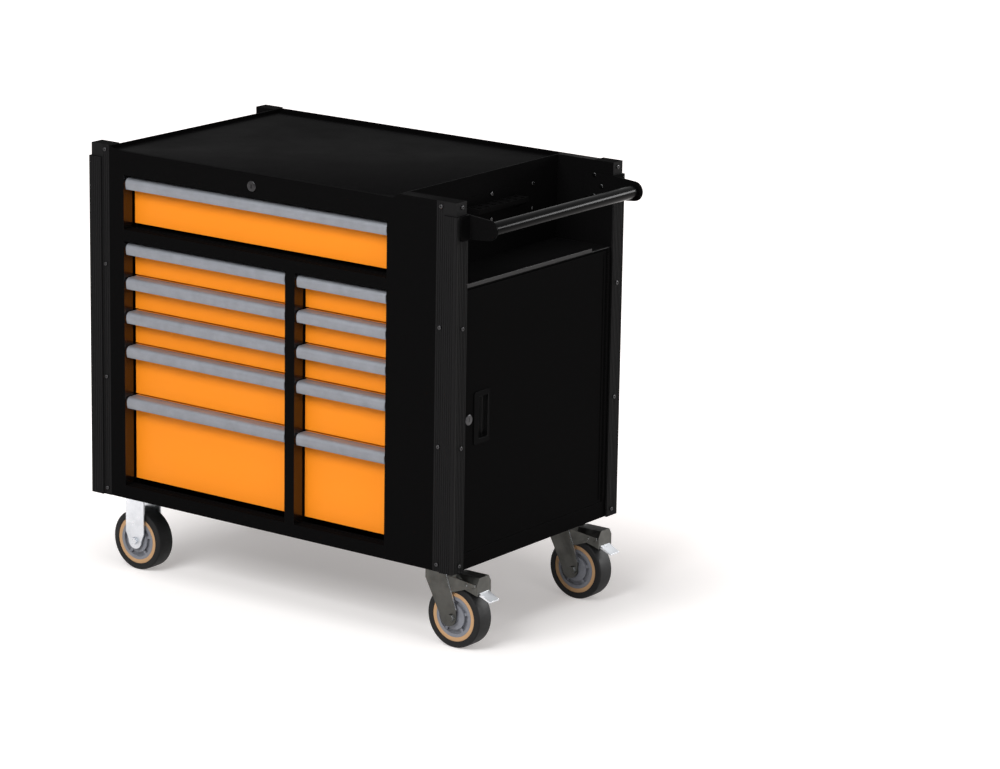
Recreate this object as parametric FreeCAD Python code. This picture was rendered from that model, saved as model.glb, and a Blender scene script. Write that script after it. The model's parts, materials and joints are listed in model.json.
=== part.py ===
import FreeCAD, Part
import math
import os

from FreeCAD import Vector

# Rolling tool workstation, in millimetres.
# It is laid out from the front left corner of its posts: x runs right along the drawers,
# y runs to the back and z runs up from the floor. Pieces are saved with the origin on the
# floor under the middle of the whole.

os.makedirs("parts", exist_ok=True)

# Sheet metal
sheet = 1.5                 # panels, front frame and drawers
worktop_sheet = 2.0
base_sheet = 2.5
overcut = 1.0               # cutters reach this far past a face

# Corner posts and their guards
post_width = 56.0           # along x
post_depth = 38.5           # along y
post_wall = 2.0
guard_thickness = 5.0
guard_front_leg = 38.0      # width of the guard's leg on the post's front, outside
guard_drop = 32.0           # the guard stops this far under the post's top
groove_width = 2.0
groove_depth = 0.8
groove_pitch = 6.0
front_screw_inset = 12.5    # from the post's inner edge to the screws on its face
side_screw_inset = 21.0     # from the post's face to the screws on its side
post_screw_end = 12.5       # from the post's top to its first screw
post_screw_foot = 17.5      # from the post's bottom to its last screw
post_screw_count = 4

# Heights of the front; the two lowest drawer fronts take what the others leave
cabinet_height = 1081.0     # floor to the posts' tops
caster_height = 200.0       # floor to the posts' feet
frame_lift = 1.5            # the front frame ends this far above the posts' feet
bottom_rail = 31.5
bottom_clearance = 13.0     # ledge to the lowest drawer fronts
medium_front = 124.2
small_front = 81.7
small_count = 3
drawer_gap = 4.0            # between one drawer front and the next
bay_top_clearance = 5.9
mid_rail = 29.0
top_drawer_clearance = 11.0
top_front = 116.0
top_drawer_headroom = 7.0
top_rail = 58.0
worktop_recess = 11.0       # the posts stand this far above the work surface

# Widths of the front, from the left post to the right side
left_stile = 46.5
left_bay = 504.0
mullion = 29.5
right_bay = 272.5
inner_stile = 36.5          # right bay to the locker's inner wall
locker_width = 163.0        # locker's inner wall to the right side
cabinet_depth = 662.0
back_inset = 12.0           # the back panel stands in from the rear posts

# Front frame
return_depth = 31.0         # flanges around the drawer openings
ledge_lip = 2.0             # upturned edge along the ledges
frame_top_flange = 12.0
frame_edge_bevel = 1.2
step_left = 36.0            # width of the rise beside the left post
step_right = 26.0           # width of the rise up to the locker's front wall
step_start = 25.0           # the rise starts this far before the locker's inner wall
hem = 20.0

# Drawers
front_setback = 38.0        # drawer faces stand back from the frame's face
front_side_gap = 2.5
front_thickness = 15.0
drawer_length = 575.0       # face to back
drawer_foot = 7.0           # tray floor above the front's lower edge
drawer_head = 14.0          # tray rim under the front's upper edge
rim_width = 5.0

# Drawer slides, two members a side
slide_space = 13.0          # between the bay's wall and the tray
slide_height = 32.0
slide_sheet = 1.5
slide_flange = 10.5         # outer member's depth
slide_play = 0.4
slide_length = 550.0
slide_start = 55.0
slide_rise = 8.0            # lower edge of the slide above the tray floor
upright_width = 30.0
upright_inset = 50.0        # front upright, from the frame's face
upright_back = 72.0         # rear upright, from the cabinet's back

# Extruded drawer pulls
pull_height = 28.0
pull_reach = 35.5
pull_wall = 2.2
pull_inset = 1.0            # each end inside the drawer front's edge

# Locks
lock_head_radius = 13.0
lock_head = 3.0
lock_body_radius = 9.0
lock_fit = 0.05
lock_body = 27.0
keyway_width = 2.2
keyway_length = 10.0
keyway_depth = 1.6
cam_thickness = 3.0
cam_width = 14.0
cam_reach = 16.0
top_lock_x = 505.0          # from the cabinet's left side
top_lock_rise = 30.5        # under the work surface

# Locker: door, sill, shelf and open well
door_sill = 39.5            # frame's lower edge to the door's lower edge
well_drop = 205.0           # the well's floor under the posts' tops
header = 4.0
door_gap = 2.0
door_depth = 21.0
door_turn = 12.0            # inward turn of the door's rear edges
lock_room = 1.0             # round the lock's body behind the door
door_flush = 1.0            # the door's face stands in from the posts' sides
stile_rear = 17.0
side_frame_depth = 36.0
strike_width = 9.0
strike_gap = 0.5
well_lip = 8.0
well_lip_short = 78.0       # the lip stops this far before the rear post
locker_shelf_height = 300.0 # shelf above the cabinet's floor
shelf_turn = 18.0
shelf_gap = 0.3

# Door pull, a cup let into the door
cup_from_edge = 42.0        # from the door's front edge
cup_bottom = 265.0          # from the door's lower edge
cup_width = 51.0
cup_height = 104.0
cup_depth = 17.0
cup_wall = 2.0
cup_side_flange = 5.0
cup_end_flange = 11.0
cup_rise = 2.5              # the flange stands this far off the door
cup_corner = 6.0
grip_width = 11.0           # flap over the front of the cup
grip_lip = 8.0
door_lock_from_edge = 17.0
door_lock_height = 319.0    # from the door's lower edge

# Piano hinge
hinge_pin_radius = 1.4
hinge_fit = 0.08
knuckle_radius = 3.0
knuckle_count = 50
knuckle_gap = 0.5
hinge_end = 8.0             # the hinge stops this far inside the door's ends
leaf_thickness = 1.2
leaf_width = 13.0
knuckle_room = 0.5          # between the knuckles and the edges beside them

# Push handle on the locker end
handle_out = 63.0           # tube axis from the right side
handle_drop = 60.5          # tube axis under the posts' tops
tube_radius = 16.0
tube_wall = 2.0
bracket_thickness = 4.0
bracket_end_radius = 24.0
bracket_half_height = 29.5  # at the post
bracket_inner = 82.0        # the bracket plate reaches this far in from the right side
bracket_wrap = 36.0         # the side flange reaches this far over the post's side
bracket_screw_spread = 25.5
bracket_screw_step = 21.0
bracket_screw_inset = 31.0

# Tool rack in the well
rack_length = 350.0
rack_back_gap = 96.0        # from the well's back wall
rack_plate_height = 76.0
rack_plate_top = 50.0       # under the posts' tops
rack_shelf_drop = 23.0      # rack shelf under the plate's top
rack_shelf_depth = 38.0
rack_shelf_inset = 75.0     # the shelf stops this far inside the plate's ends
rack_lip = 12.0
rack_gusset = 32.0          # height of the shelf's ends at the plate
rack_hole_radius = 6.0
rack_rows = 2
rack_columns = 7
rack_screw_inset = 9.0
rack_screw_top = 5.5
rack_screw_spread = 61.0

# Button head screws
screw_head_radius = 5.2
screw_head = 3.0
screw_shank_radius = 2.9
screw_fit = 0.1
screw_length = 12.0
screw_socket = 2.0          # radius of the hexagon socket
screw_socket_depth = 1.6

# Casters
caster_inset_x = 86.0       # wheel axis from the posts' outer sides at the left
caster_inset_y = 84.0       # wheel middle from the front and back
wheel_radius = 76.2
wheel_width = 50.0
shoulder_height = 5.0       # of the tyre's rounded shoulder
shoulder_width = 4.5
tread_crown = 0.4           # the tread's edges are this much lower than its middle
band_radius = 60.3          # outside of the coloured band
core_radius = 50.0          # outside of the cast core
band_inset = 1.5            # the band and the core stand in from the tyre's sides
boss_radius = 31.0
hub_radius = 12.0
hub_play = 0.3              # between the hub and a fork leg
rim_wall = 8.0
web_thickness = 30.0
rib_thickness = 7.0
rib_count = 5
rib_recess = 3.0
axle_radius = 6.0
axle_fit = 0.05
axle_head_radius = 9.5
axle_head = 6.5
plate_length = 70.0         # along x
plate_breadth = 114.0       # along y
plate_thickness = 5.0
fork_sheet = 4.5
fork_gap = 3.5              # between the wheel and a fork leg
rigid_end_radius = 20.5
rigid_leg_width = 58.0
rigid_leg_straight = 97.0   # the leg starts to taper at this height
swivel_offset = 49.0        # wheel axle behind the swivel's axis
swivel_leg_width = 58.0
swivel_leg_drop = 24.0      # the leg's rear edge is upright this far under the crown
swivel_leg_bend = 21.0      # its front edge is upright this far above the axle
swivel_end_radius = 23.0
swivel_end_shift = 10.0     # the leg's round end lies this far before the axle
race_radius = 36.0
race_height = 9.0
race_gap = 0.4
kingpin_radius = 8.0
kingpin_fit = 0.05
kingpin_nut_radius = 13.0
kingpin_nut = 7.0
plate_bolt_x = 38.0
plate_bolt_y = 88.0
plate_hole_radius = 4.5
plate_bolt_radius = 4.4
plate_bolt_head = 5.0
plate_bolt_head_radius = 7.5
nut_room = 1.0              # round the nuts that stand on the base

# Brake pedal of a swivel caster, and the fork's cheeks that carry it
pedal_width = 54.0
pedal_pivot_out = 39.0      # pivot ahead of the wheel axle
pedal_pivot_height = 162.0
pedal_pin_radius = 4.0
pedal_pin_fit = 0.05
pedal_reach = 31.0          # pivot to the pedal's front face
pedal_back = 35.0           # pivot to the hood's rear end
pedal_top = 183.0
pedal_shoulder = 168.0      # height where the hood's sides start to lean in
pedal_shoulder_width = 9.0
pedal_bottom = 140.0        # at the front face
pedal_rear_bottom = 158.0
pedal_wall = 3.0
pedal_toe = 30.0            # toe plate ahead of the front face
pedal_toe_drop = 13.0
pedal_toe_width = 36.0
cheek_sheet = 2.5
cheek_reach = 66.0          # the cheeks end this far ahead of the wheel axle
cheek_root = 138.0          # lower edge beside the leg
cheek_top = 176.0
cheek_nose = 165.0          # middle height of the cheek's front end
cheek_nose_height = 6.0

# Levels
foot_level = caster_height
frame_bottom = foot_level + frame_lift
ledge_level = frame_bottom + bottom_rail
post_top = cabinet_height
surface_level = post_top - worktop_recess
top_opening_top = surface_level - top_rail
top_ledge = top_opening_top - top_drawer_headroom - top_front - top_drawer_clearance
bay_top = top_ledge - mid_rail
upper_fronts = medium_front + small_count * small_front + (small_count + 1) * drawer_gap
large_front = bay_top - bay_top_clearance - upper_fronts - bottom_clearance - ledge_level
floor_level = foot_level + base_sheet
well_level = post_top - well_drop

# Planes across the front
post_inner = post_width
left_x0 = post_inner + left_stile
left_x1 = left_x0 + left_bay
right_x0 = left_x1 + mullion
right_x1 = right_x0 + right_bay
wall_x = right_x1 + inner_stile
side_x = wall_x + locker_width
right_post_x = side_x - post_width
panel_x = side_x - door_flush

# Planes from front to back
rear_post_y = cabinet_depth - post_depth
back_y = cabinet_depth - back_inset
inside_back_y = back_y - sheet

# Whole size, for the origin
handle_x = side_x + handle_out
overall_x0 = -guard_thickness - screw_head
overall_x1 = handle_x + bracket_end_radius
overall_y0 = -guard_thickness - screw_head
overall_y1 = cabinet_depth + guard_thickness + screw_head
ORIGIN = Vector((overall_x0 + overall_x1) / 2, (overall_y0 + overall_y1) / 2, 0)

X = Vector(1, 0, 0)
Y = Vector(0, 1, 0)
Z = Vector(0, 0, 1)


def box(x0, x1, y0, y1, z0, z1):
    """A box between two corners."""
    return Part.makeBox(x1 - x0, y1 - y0, z1 - z0, Vector(x0, y0, z0))


def rod(x, y, z, radius, length, along):
    """A cylinder that starts at a point and runs along a direction."""
    return Part.makeCylinder(radius, length, Vector(x, y, z), along)


def hexagon(x, y, z, radius, length, along):
    """A hexagonal bar of the given radius across its corners."""
    side = X if abs(along.dot(X)) < 0.5 else Y
    other = along.cross(side)
    start = Vector(x, y, z)
    corners = []
    for k in range(7):
        turn = math.radians(60 * k)
        corners.append(start + side * (radius * math.cos(turn)) + other * (radius * math.sin(turn)))
    return Part.Face(Part.makePolygon(corners)).extrude(along * length)


def slab(points, along):
    """A flat plate: a closed outline of points, pushed along a vector."""
    return Part.Face(Part.makePolygon(points + [points[0]])).extrude(along)


def join(shapes):
    """One solid from touching shapes."""
    whole = shapes[0].multiFuse(shapes[1:]) if len(shapes) > 1 else shapes[0]
    return whole.removeSplitter()


def mirror_y(shape):
    """The same piece at the back of the cabinet."""
    return shape.mirror(Vector(0, cabinet_depth / 2, 0), Y)


def save(name, *shapes):
    """Write one node, moved so that the origin is under the middle of the whole."""
    solids = []
    for shape in shapes:
        solids.extend(shape.Solids)
    node = solids[0] if len(solids) == 1 else Part.makeCompound(solids)
    node = node.copy()
    node.translate(Vector(-ORIGIN.x, -ORIGIN.y, -ORIGIN.z))
    node.exportStep("parts/" + name + ".step")


def screw(x, y, z, out):
    """A button head screw whose head stands on a surface and whose shank goes in."""
    head = rod(x, y, z, screw_head_radius, screw_head, out)
    rim = [e for e in head.Edges if abs((e.CenterOfMass - Vector(x, y, z)).dot(out) - screw_head) < 0.01]
    head = head.makeFillet(screw_head * 0.6, [e for e in rim if e.Curve.TypeId == "Part::GeomCircle"])
    shank = rod(x, y, z, screw_shank_radius, screw_length, out * -1)
    top = Vector(x, y, z) + out * (screw_head - screw_socket_depth)
    socket = hexagon(top.x, top.y, top.z, screw_socket, screw_head, out)
    return join([head, shank]).cut(socket)


def screw_hole(x, y, z, out):
    """The hole for that screw, through everything that it passes."""
    start = Vector(x, y, z) + out * overcut
    return rod(start.x, start.y, start.z, screw_shank_radius + screw_fit,
               screw_length + 2 * overcut, out * -1)


def post_screw_heights():
    """Heights of the screws up a post."""
    low = foot_level + post_screw_foot
    step = (post_top - post_screw_end - low) / (post_screw_count - 1)
    return [low + step * k for k in range(post_screw_count)]


def guard_top():
    return post_top - guard_drop


def post_screw_spots():
    """Where the screws of the front left post stand, and which way they face."""
    spots = []
    for z in post_screw_heights():
        spots.append((Vector(post_width - front_screw_inset, 0, z), Y * -1))
        out = guard_thickness if z < guard_top() else 0
        spots.append((Vector(-out, side_screw_inset, z), X * -1))
    return spots


def grooves(first, last, face, along_x, z0, z1):
    """Thin vertical grooves in a face, between two positions."""
    cuts = []
    count = int((last - first) // groove_pitch)
    start = first + (last - first - (count - 1) * groove_pitch) / 2
    for k in range(count):
        mid = start + k * groove_pitch
        a = mid - groove_width / 2
        b = mid + groove_width / 2
        if along_x:
            cuts.append(box(a, b, face, face + groove_depth, z0, z1))
        else:
            cuts.append(box(face, face + groove_depth, a, b, z0, z1))
    return cuts


def corner_post():
    """The front left post: a capped box section with grooves beside the guard."""
    outer = box(0, post_width, 0, post_depth, foot_level, post_top)
    inner = box(post_wall, post_width - post_wall, post_wall, post_depth - post_wall,
                foot_level, post_top - post_wall)
    post = outer.cut(inner)
    strip = guard_front_leg - guard_thickness
    cuts = grooves(strip, post_width, 0, True, foot_level, post_top)
    cuts += [screw_hole(p.x, p.y, p.z, out) for p, out in post_screw_spots()]
    return post.cut(cuts).removeSplitter()


def corner_guard():
    """The front left guard: a ribbed angle round the post's outer corner."""
    leg = guard_front_leg - guard_thickness
    outer = box(-guard_thickness, leg, -guard_thickness, post_depth, foot_level, guard_top())
    guard = outer.cut(box(0, leg, 0, post_depth, foot_level, guard_top()))
    corner = [e for e in guard.Edges if len(e.Vertexes) == 2
              and all(abs(v.X + guard_thickness) < 0.01 and abs(v.Y + guard_thickness) < 0.01
                      for v in e.Vertexes)]
    guard = guard.makeFillet(guard_thickness * 0.4, corner)
    cuts = grooves(0, leg, -guard_thickness, True, foot_level, guard_top())
    cuts += grooves(0, post_depth, -guard_thickness, False, foot_level, guard_top())
    cuts += [screw_hole(p.x, p.y, p.z, out) for p, out in post_screw_spots()]
    return guard.cut(cuts).removeSplitter()


def corner_posts():
    """The four posts; the right ones also take the handle brackets' screws."""
    posts = four_corners(corner_post())
    for p, out in bracket_screw_spots():
        hole = screw_hole(p.x, p.y, p.z, out)
        posts = [post.cut([hole, mirror_y(hole)]) for post in posts]
    return posts


def four_corners(shape):
    """A piece of the front left corner, repeated at the other three."""
    right = shape.mirror(Vector(side_x / 2, 0, 0), X)
    return [shape, right, mirror_y(shape), mirror_y(right)]


def opening_returns(x0, x1, z0, z1):
    """Flanges round a drawer opening, with an upturned lip along the ledge."""
    outer = box(x0 - sheet, x1 + sheet, 0, return_depth, z0 - sheet, z1 + sheet)
    ring = outer.cut(box(x0, x1, 0, return_depth, z0, z1))
    lip = box(x0, x1, return_depth - sheet, return_depth, z0 - sheet, z0 + ledge_lip)
    return ring.fuse(lip)


def front_openings():
    """Left, right, lower and upper edge of each drawer opening."""
    return [(left_x0, right_x1, top_ledge, top_opening_top),
            (left_x0, left_x1, ledge_level, bay_top),
            (right_x0, right_x1, ledge_level, bay_top)]


def front_frame():
    """Face frame with its openings, the locker's front wall and the raised ends."""
    rise_x = wall_x - step_start
    outline = [Vector(post_inner, 0, frame_bottom), Vector(right_post_x, 0, frame_bottom),
               Vector(right_post_x, 0, post_top), Vector(rise_x + step_right, 0, post_top)]
    curve_steps = 6
    for k in range(1, curve_steps + 1):
        turn = math.radians(90 * k / curve_steps)
        outline.append(Vector(rise_x + step_right * (1 - math.sin(turn)), 0,
                              surface_level + worktop_recess * (1 - math.sin(turn)) ** 1.5))
    for k in range(curve_steps + 1):
        turn = math.radians(90 * k / curve_steps)
        outline.append(Vector(post_inner + step_left * math.cos(turn), 0,
                              surface_level + worktop_recess * (1 - math.cos(turn)) ** 1.5))
    frame = slab(outline, Y * sheet)
    for x0, x1, z0, z1 in front_openings():
        frame = frame.cut(box(x0, x1, -overcut, sheet + overcut, z0, z1))
    pieces = [frame]
    for x0, x1, z0, z1 in front_openings():
        pieces.append(opening_returns(x0, x1, z0, z1))
    pieces.append(box(post_inner + sheet, wall_x - sheet, 0, frame_top_flange,
                      surface_level - worktop_sheet, surface_level))
    wall_top = box(rise_x + step_right, right_post_x, 0, post_depth, post_top - sheet, post_top)
    wall_hem = box(rise_x + step_right, right_post_x, post_depth - sheet, post_depth,
                   post_top - hem, post_top)
    clear = box(wall_x - sheet, wall_x, sheet, post_depth, foot_level, post_top)
    pieces += [wall_top.cut(clear), wall_hem.cut(clear)]
    frame = join(pieces)
    edge_x = post_inner + step_left
    bevel = slab([Vector(edge_x, 0, surface_level), Vector(edge_x, frame_edge_bevel, surface_level),
                  Vector(edge_x, 0, surface_level - frame_edge_bevel)], X * (rise_x - edge_x))
    frame = frame.cut(bevel)
    hole = rod(top_lock_x, -overcut, top_lock_z(), lock_body_radius + lock_fit,
               sheet + 2 * overcut, Y)
    return frame.cut(hole)


def top_lock_z():
    return surface_level - top_lock_rise


def worktop():
    """Recessed work surface with upstands on its left, back and right."""
    x0 = post_inner + sheet
    x1 = wall_x - sheet
    low = surface_level - worktop_sheet
    plate = box(x0, x1, frame_top_flange, inside_back_y, low, surface_level)
    left = box(x0, x0 + worktop_sheet, frame_top_flange, inside_back_y, low, post_top - sheet)
    back = box(x0, x1, inside_back_y - worktop_sheet, inside_back_y, low, post_top - sheet)
    right = box(x1 - worktop_sheet, x1, frame_top_flange, inside_back_y, low, post_top)
    return join([plate, left, back, right])


def left_side_panel():
    """Left wall, between the front frame and the back, on the base."""
    panel = box(post_inner, post_inner + sheet, sheet, inside_back_y, frame_bottom, post_top - sheet)
    for p, out in post_screw_spots():
        if abs(out.x) > 0.5:
            panel = panel.cut(screw_hole(p.x, p.y, p.z, out))
    return panel


def back_panel():
    """Back wall between the rear posts."""
    return box(post_inner, right_post_x, inside_back_y, back_y, frame_bottom, post_top)


def base_pan():
    """Bottom plate with upturned edges, notched round the right posts."""
    x0 = post_inner + sheet
    x1 = panel_x - sheet
    plate = box(x0, x1, sheet, inside_back_y, foot_level, floor_level)
    rim = box(x0, x1, sheet, inside_back_y, floor_level, ledge_level - 2 * sheet)
    rim = rim.cut(box(x0 + sheet, x1 - sheet, 2 * sheet, inside_back_y - sheet,
                      floor_level, ledge_level))
    pan = join([plate, rim])
    for y0, y1 in ((0, post_depth), (rear_post_y, cabinet_depth)):
        pan = pan.cut(box(right_post_x, side_x, y0, y1, foot_level, post_top))
    wall_slot = box(wall_x - sheet, wall_x, 0, cabinet_depth, floor_level, post_top)
    liner_slot = box(wall_x, side_x, rear_post_y, rear_post_y + sheet, floor_level, post_top)
    holes = [rod(x, y, foot_level, plate_hole_radius, base_sheet, Z)
             for x, y in plate_bolt_spots()]
    return pan.cut([wall_slot, liner_slot] + holes)


def locker_partition():
    """Folded wall between the drawers and the locker, with the locker's back wall."""
    wall = box(wall_x - sheet, wall_x, sheet, rear_post_y + sheet, floor_level, post_top)
    liner = box(wall_x, right_post_x, rear_post_y, rear_post_y + sheet, floor_level, post_top)
    flange = box(wall_x - sheet, right_post_x, rear_post_y, inside_back_y, post_top - sheet, post_top)
    partition = join([wall, liner, flange])
    for p, out in rack_screw_spots():
        partition = partition.cut(screw_hole(p.x, p.y, p.z, out))
    for x, y in plate_bolt_spots():
        partition = partition.cut(rod(x, y, floor_level, plate_bolt_head_radius + nut_room,
                                      plate_bolt_head + nut_room, Z))
    return partition


def cross_shelf():
    """Sheet between the top drawer and the two bays."""
    top = top_ledge - sheet
    return box(left_x0, right_x1, sheet, inside_back_y, top - sheet, top)


def centre_divider():
    """Channel between the two bays, behind the front frame's middle bar."""
    top = top_ledge - 2 * sheet
    back = inside_back_y - sheet
    outer = box(left_x1, right_x0, return_depth, back, floor_level, top)
    return outer.cut(box(left_x1 + sheet, right_x0 - sheet, return_depth + sheet, back,
                         floor_level, top))


def upright(x0, x1, open_left, y0):
    """A channel that carries the slides, open towards the cabinet's wall."""
    top = surface_level - worktop_sheet
    outer = box(x0, x1, y0, y0 + upright_width, floor_level, top)
    shift = 0 if open_left else sheet
    inner = box(x0 + shift, x1 - sheet + shift, y0 + sheet, y0 + upright_width - sheet,
                floor_level, top)
    return outer.cut(inner)


def slide_uprights():
    """Four uprights, two against the left wall and two against the locker's inner wall."""
    rows = (upright_inset, inside_back_y - upright_back - upright_width)
    posts = []
    for y0 in rows:
        posts.append(upright(post_inner + 2 * sheet, left_x0, True, y0))
        posts.append(upright(right_x1, wall_x - sheet, False, y0))
    return posts


def drawer_rows():
    """Name, bay edges, lower and upper edge of each drawer front."""
    low = top_ledge + top_drawer_clearance
    rows = [("top_drawer", left_x0, right_x1, low, low + top_front)]
    heights = [large_front, medium_front] + [small_front] * small_count
    for side, x0, x1 in (("left", left_x0, left_x1), ("right", right_x0, right_x1)):
        z = ledge_level + bottom_clearance
        for k, height in enumerate(heights):
            number = len(heights) - k
            rows.append((side + "_drawer_" + str(number), x0, x1, z, z + height))
            z += height + drawer_gap
    return rows


def slide_low(z0):
    """Lower edge of a drawer's slides."""
    return z0 + drawer_foot + slide_rise


def outer_slide(wall, inward, z0):
    """Cabinet member: a channel on the bay's wall, open towards the drawer."""
    low = slide_low(z0)
    a, b = sorted((wall, wall + inward * slide_flange))
    c, d = sorted((wall + inward * slide_sheet, wall + inward * slide_flange))
    end = slide_start + slide_length
    channel = box(a, b, slide_start, end, low, low + slide_height)
    hollow = box(c, d, slide_start, end, low + slide_sheet, low + slide_height - slide_sheet)
    return channel.cut(hollow)


def inner_slide(wall, inward, z0):
    """Drawer member: a channel on the tray's side that runs inside the cabinet member."""
    low = slide_low(z0) + slide_sheet + slide_play
    high = slide_low(z0) + slide_height - slide_sheet - slide_play
    a, b = sorted((wall + inward * (slide_sheet + slide_play), wall + inward * slide_space))
    c, d = sorted((a if inward > 0 else b, wall + inward * (slide_space - slide_sheet)))
    start = slide_start - slide_sheet
    channel = box(a, b, start, start + slide_length, low, high)
    hollow = box(c, d, start, start + slide_length, low + slide_sheet, high - slide_sheet)
    return channel.cut(hollow)


def drawer(x0, x1, z0, z1):
    """Double front and open tray of one drawer, with its two slide members."""
    fx0 = x0 + front_side_gap
    fx1 = x1 - front_side_gap
    face = front_setback
    back = face + front_thickness
    front = box(fx0, fx1, face, back, z0, z1)
    front = front.cut(box(fx0 + sheet, fx1 - sheet, face + sheet, back - sheet, z0, z1 - sheet))
    tx0 = x0 + slide_space
    tx1 = x1 - slide_space
    floor = z0 + drawer_foot
    rim = z1 - drawer_head
    end = face + drawer_length
    tray = box(tx0, tx1, back - sheet, end, floor, rim)
    tray = tray.cut(box(tx0 + sheet, tx1 - sheet, back, end - sheet, floor + sheet, rim))
    rims = box(tx0 - rim_width, tx1 + rim_width, back - sheet, end, rim - sheet, rim)
    rims = rims.cut(box(tx0, tx1, back - sheet, end, rim - sheet, rim))
    body = join([front, tray, rims])
    return [body, inner_slide(x0, 1, z0), inner_slide(x1, -1, z0)]


def drawer_pull(x0, x1, z1):
    """Extruded pull: a top plate, a rounded nose and a leg on the drawer's face."""
    start = x0 + front_side_gap + pull_inset
    length = x1 - x0 - 2 * (front_side_gap + pull_inset)
    low = z1 - pull_height

    def at(out, up):
        return Vector(start, front_setback - out, low + up)

    nose = pull_reach * 0.62
    leg = pull_height * 0.3
    inside = pull_reach - pull_wall
    edges = [
        Part.LineSegment(at(0, pull_height), at(nose, pull_height)),
        Part.Arc(at(nose, pull_height), at(pull_reach * 0.915, pull_height * 0.86),
                 at(pull_reach, pull_height * 0.5)),
        Part.Arc(at(pull_reach, pull_height * 0.5), at(pull_reach * 0.985, pull_height * 0.24),
                 at(pull_reach * 0.93, 0)),
        Part.LineSegment(at(pull_reach * 0.93, 0), at(pull_reach * 0.93 - pull_wall, 0)),
        Part.Arc(at(pull_reach * 0.93 - pull_wall, 0),
                 at(inside * 0.985, pull_height * 0.24), at(inside, pull_height * 0.5)),
        Part.Arc(at(inside, pull_height * 0.5), at(pull_reach * 0.915 - pull_wall * 0.75,
                 pull_height * 0.86 - pull_wall * 0.75), at(nose, pull_height - pull_wall)),
        Part.LineSegment(at(nose, pull_height - pull_wall), at(pull_wall, pull_height - pull_wall)),
        Part.LineSegment(at(pull_wall, pull_height - pull_wall), at(pull_wall, leg)),
        Part.LineSegment(at(pull_wall, leg), at(0, leg)),
        Part.LineSegment(at(0, leg), at(0, pull_height)),
    ]
    profile = Part.Wire([e.toShape() for e in edges])
    return Part.Face(profile).extrude(X * length)


def lock_barrel(out, inward_length):
    """Round key cylinder at the origin, facing out, with a keyway in its head."""
    head = rod(0, 0, 0, lock_head_radius, lock_head, out)
    rim = [e for e in head.Edges if abs(e.CenterOfMass.dot(out) - lock_head) < 0.01
           and e.Curve.TypeId == "Part::GeomCircle"]
    head = head.makeChamfer(lock_head * 0.4, rim)
    body = rod(0, 0, 0, lock_body_radius, inward_length, out * -1)
    side = Z.cross(out)
    corner = out * (lock_head - keyway_depth) - side * (keyway_width / 2) - Z * (keyway_length / 2)
    key = slab([corner, corner + side * keyway_width, corner + side * keyway_width + Z * keyway_length,
                corner + Z * keyway_length], out * keyway_depth)
    return join([head, body]).cut(key)


def lock_cam(out, inward_length):
    """Cam on the inner end of a key cylinder, pointing up."""
    side = Z.cross(out)
    face = out * -inward_length
    a = face - side * (cam_width / 2) - Z * (cam_width / 2)
    outline = [a, a + side * cam_width, a + side * cam_width + Z * (cam_reach + cam_width / 2),
               a + Z * (cam_reach + cam_width / 2)]
    return slab(outline, out * -cam_thickness)


def moved(shape, x, y, z):
    shape = shape.copy()
    shape.translate(Vector(x, y, z))
    return shape


def door_edges():
    """Front, rear, lower and upper edge of the locker door."""
    low = frame_bottom + door_sill + door_gap / 2
    high = well_level - header - door_gap
    return post_depth + door_gap, hinge_y() - door_gap, low, high


def hinge_y():
    return rear_post_y - stile_rear


def hinge_x():
    return panel_x + knuckle_radius / 2


def hinge_levels():
    low = door_edges()[2] + hinge_end
    high = door_edges()[3] - hinge_end
    return low, high


def cup_box():
    """The cup's outside behind the door skin, as y and z limits."""
    front, rear, low, high = door_edges()
    y0 = front + cup_from_edge
    z0 = low + cup_bottom
    return y0, y0 + cup_width, z0, z0 + cup_height


def door_lock_place():
    front, rear, low, high = door_edges()
    return front + door_lock_from_edge, low + door_lock_height


def locker_door():
    """Door pan: a face with turned edges, cut for the cup and the lock."""
    front, rear, low, high = door_edges()
    pan = box(panel_x - door_depth, panel_x, front, rear, low, high)
    pan = pan.cut(box(panel_x - door_depth, panel_x - sheet, front + sheet, rear - sheet,
                      low + sheet, high - sheet))
    y0, y1, z0, z1 = cup_box()
    pan = pan.cut(box(panel_x - door_depth, panel_x, y0, y1, z0, z1))
    lock_y, lock_z = door_lock_place()
    pan = pan.cut(rod(panel_x - door_depth, lock_y, lock_z, lock_body_radius + lock_fit,
                      door_depth + overcut, X))
    ring = box(panel_x - door_depth, panel_x - door_depth + sheet, front, rear, low, high)
    ring = ring.cut(box(panel_x - door_depth, panel_x, front + door_turn, rear - door_turn,
                        low + door_turn, high - door_turn))
    ring = ring.cut(rod(panel_x - door_depth - overcut, lock_y, lock_z, lock_body_radius + lock_room,
                        door_depth, X))
    return join([pan, ring])


def door_pull():
    """Recessed cup with a raised flange on the door's face and a grip flap along its front side."""
    y0, y1, z0, z1 = cup_box()
    face_x = panel_x + cup_rise
    mouth = y0 + cup_wall + grip_width
    flange = box(panel_x, face_x, y0 - cup_side_flange, y1 + cup_side_flange, z0 - cup_end_flange,
                 z1 + cup_end_flange)
    corners = [edge for edge in flange.Edges if edge.BoundBox.XLength > cup_rise / 2]
    flange = flange.makeFillet(cup_corner, corners)
    cup = box(panel_x - cup_depth, face_x, y0, y1, z0, z1)
    hollow = box(panel_x - cup_depth + cup_wall, face_x, y0 + cup_wall, y1 - cup_wall,
                 z0 + cup_wall, z1 - cup_wall)
    grip = box(face_x - cup_wall, face_x, y0, mouth, z0, z1)
    lip = box(face_x - grip_lip, face_x, mouth - cup_wall, mouth, z0, z1)
    return join([flange.cut(hollow), cup.cut(hollow), grip, lip])


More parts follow.
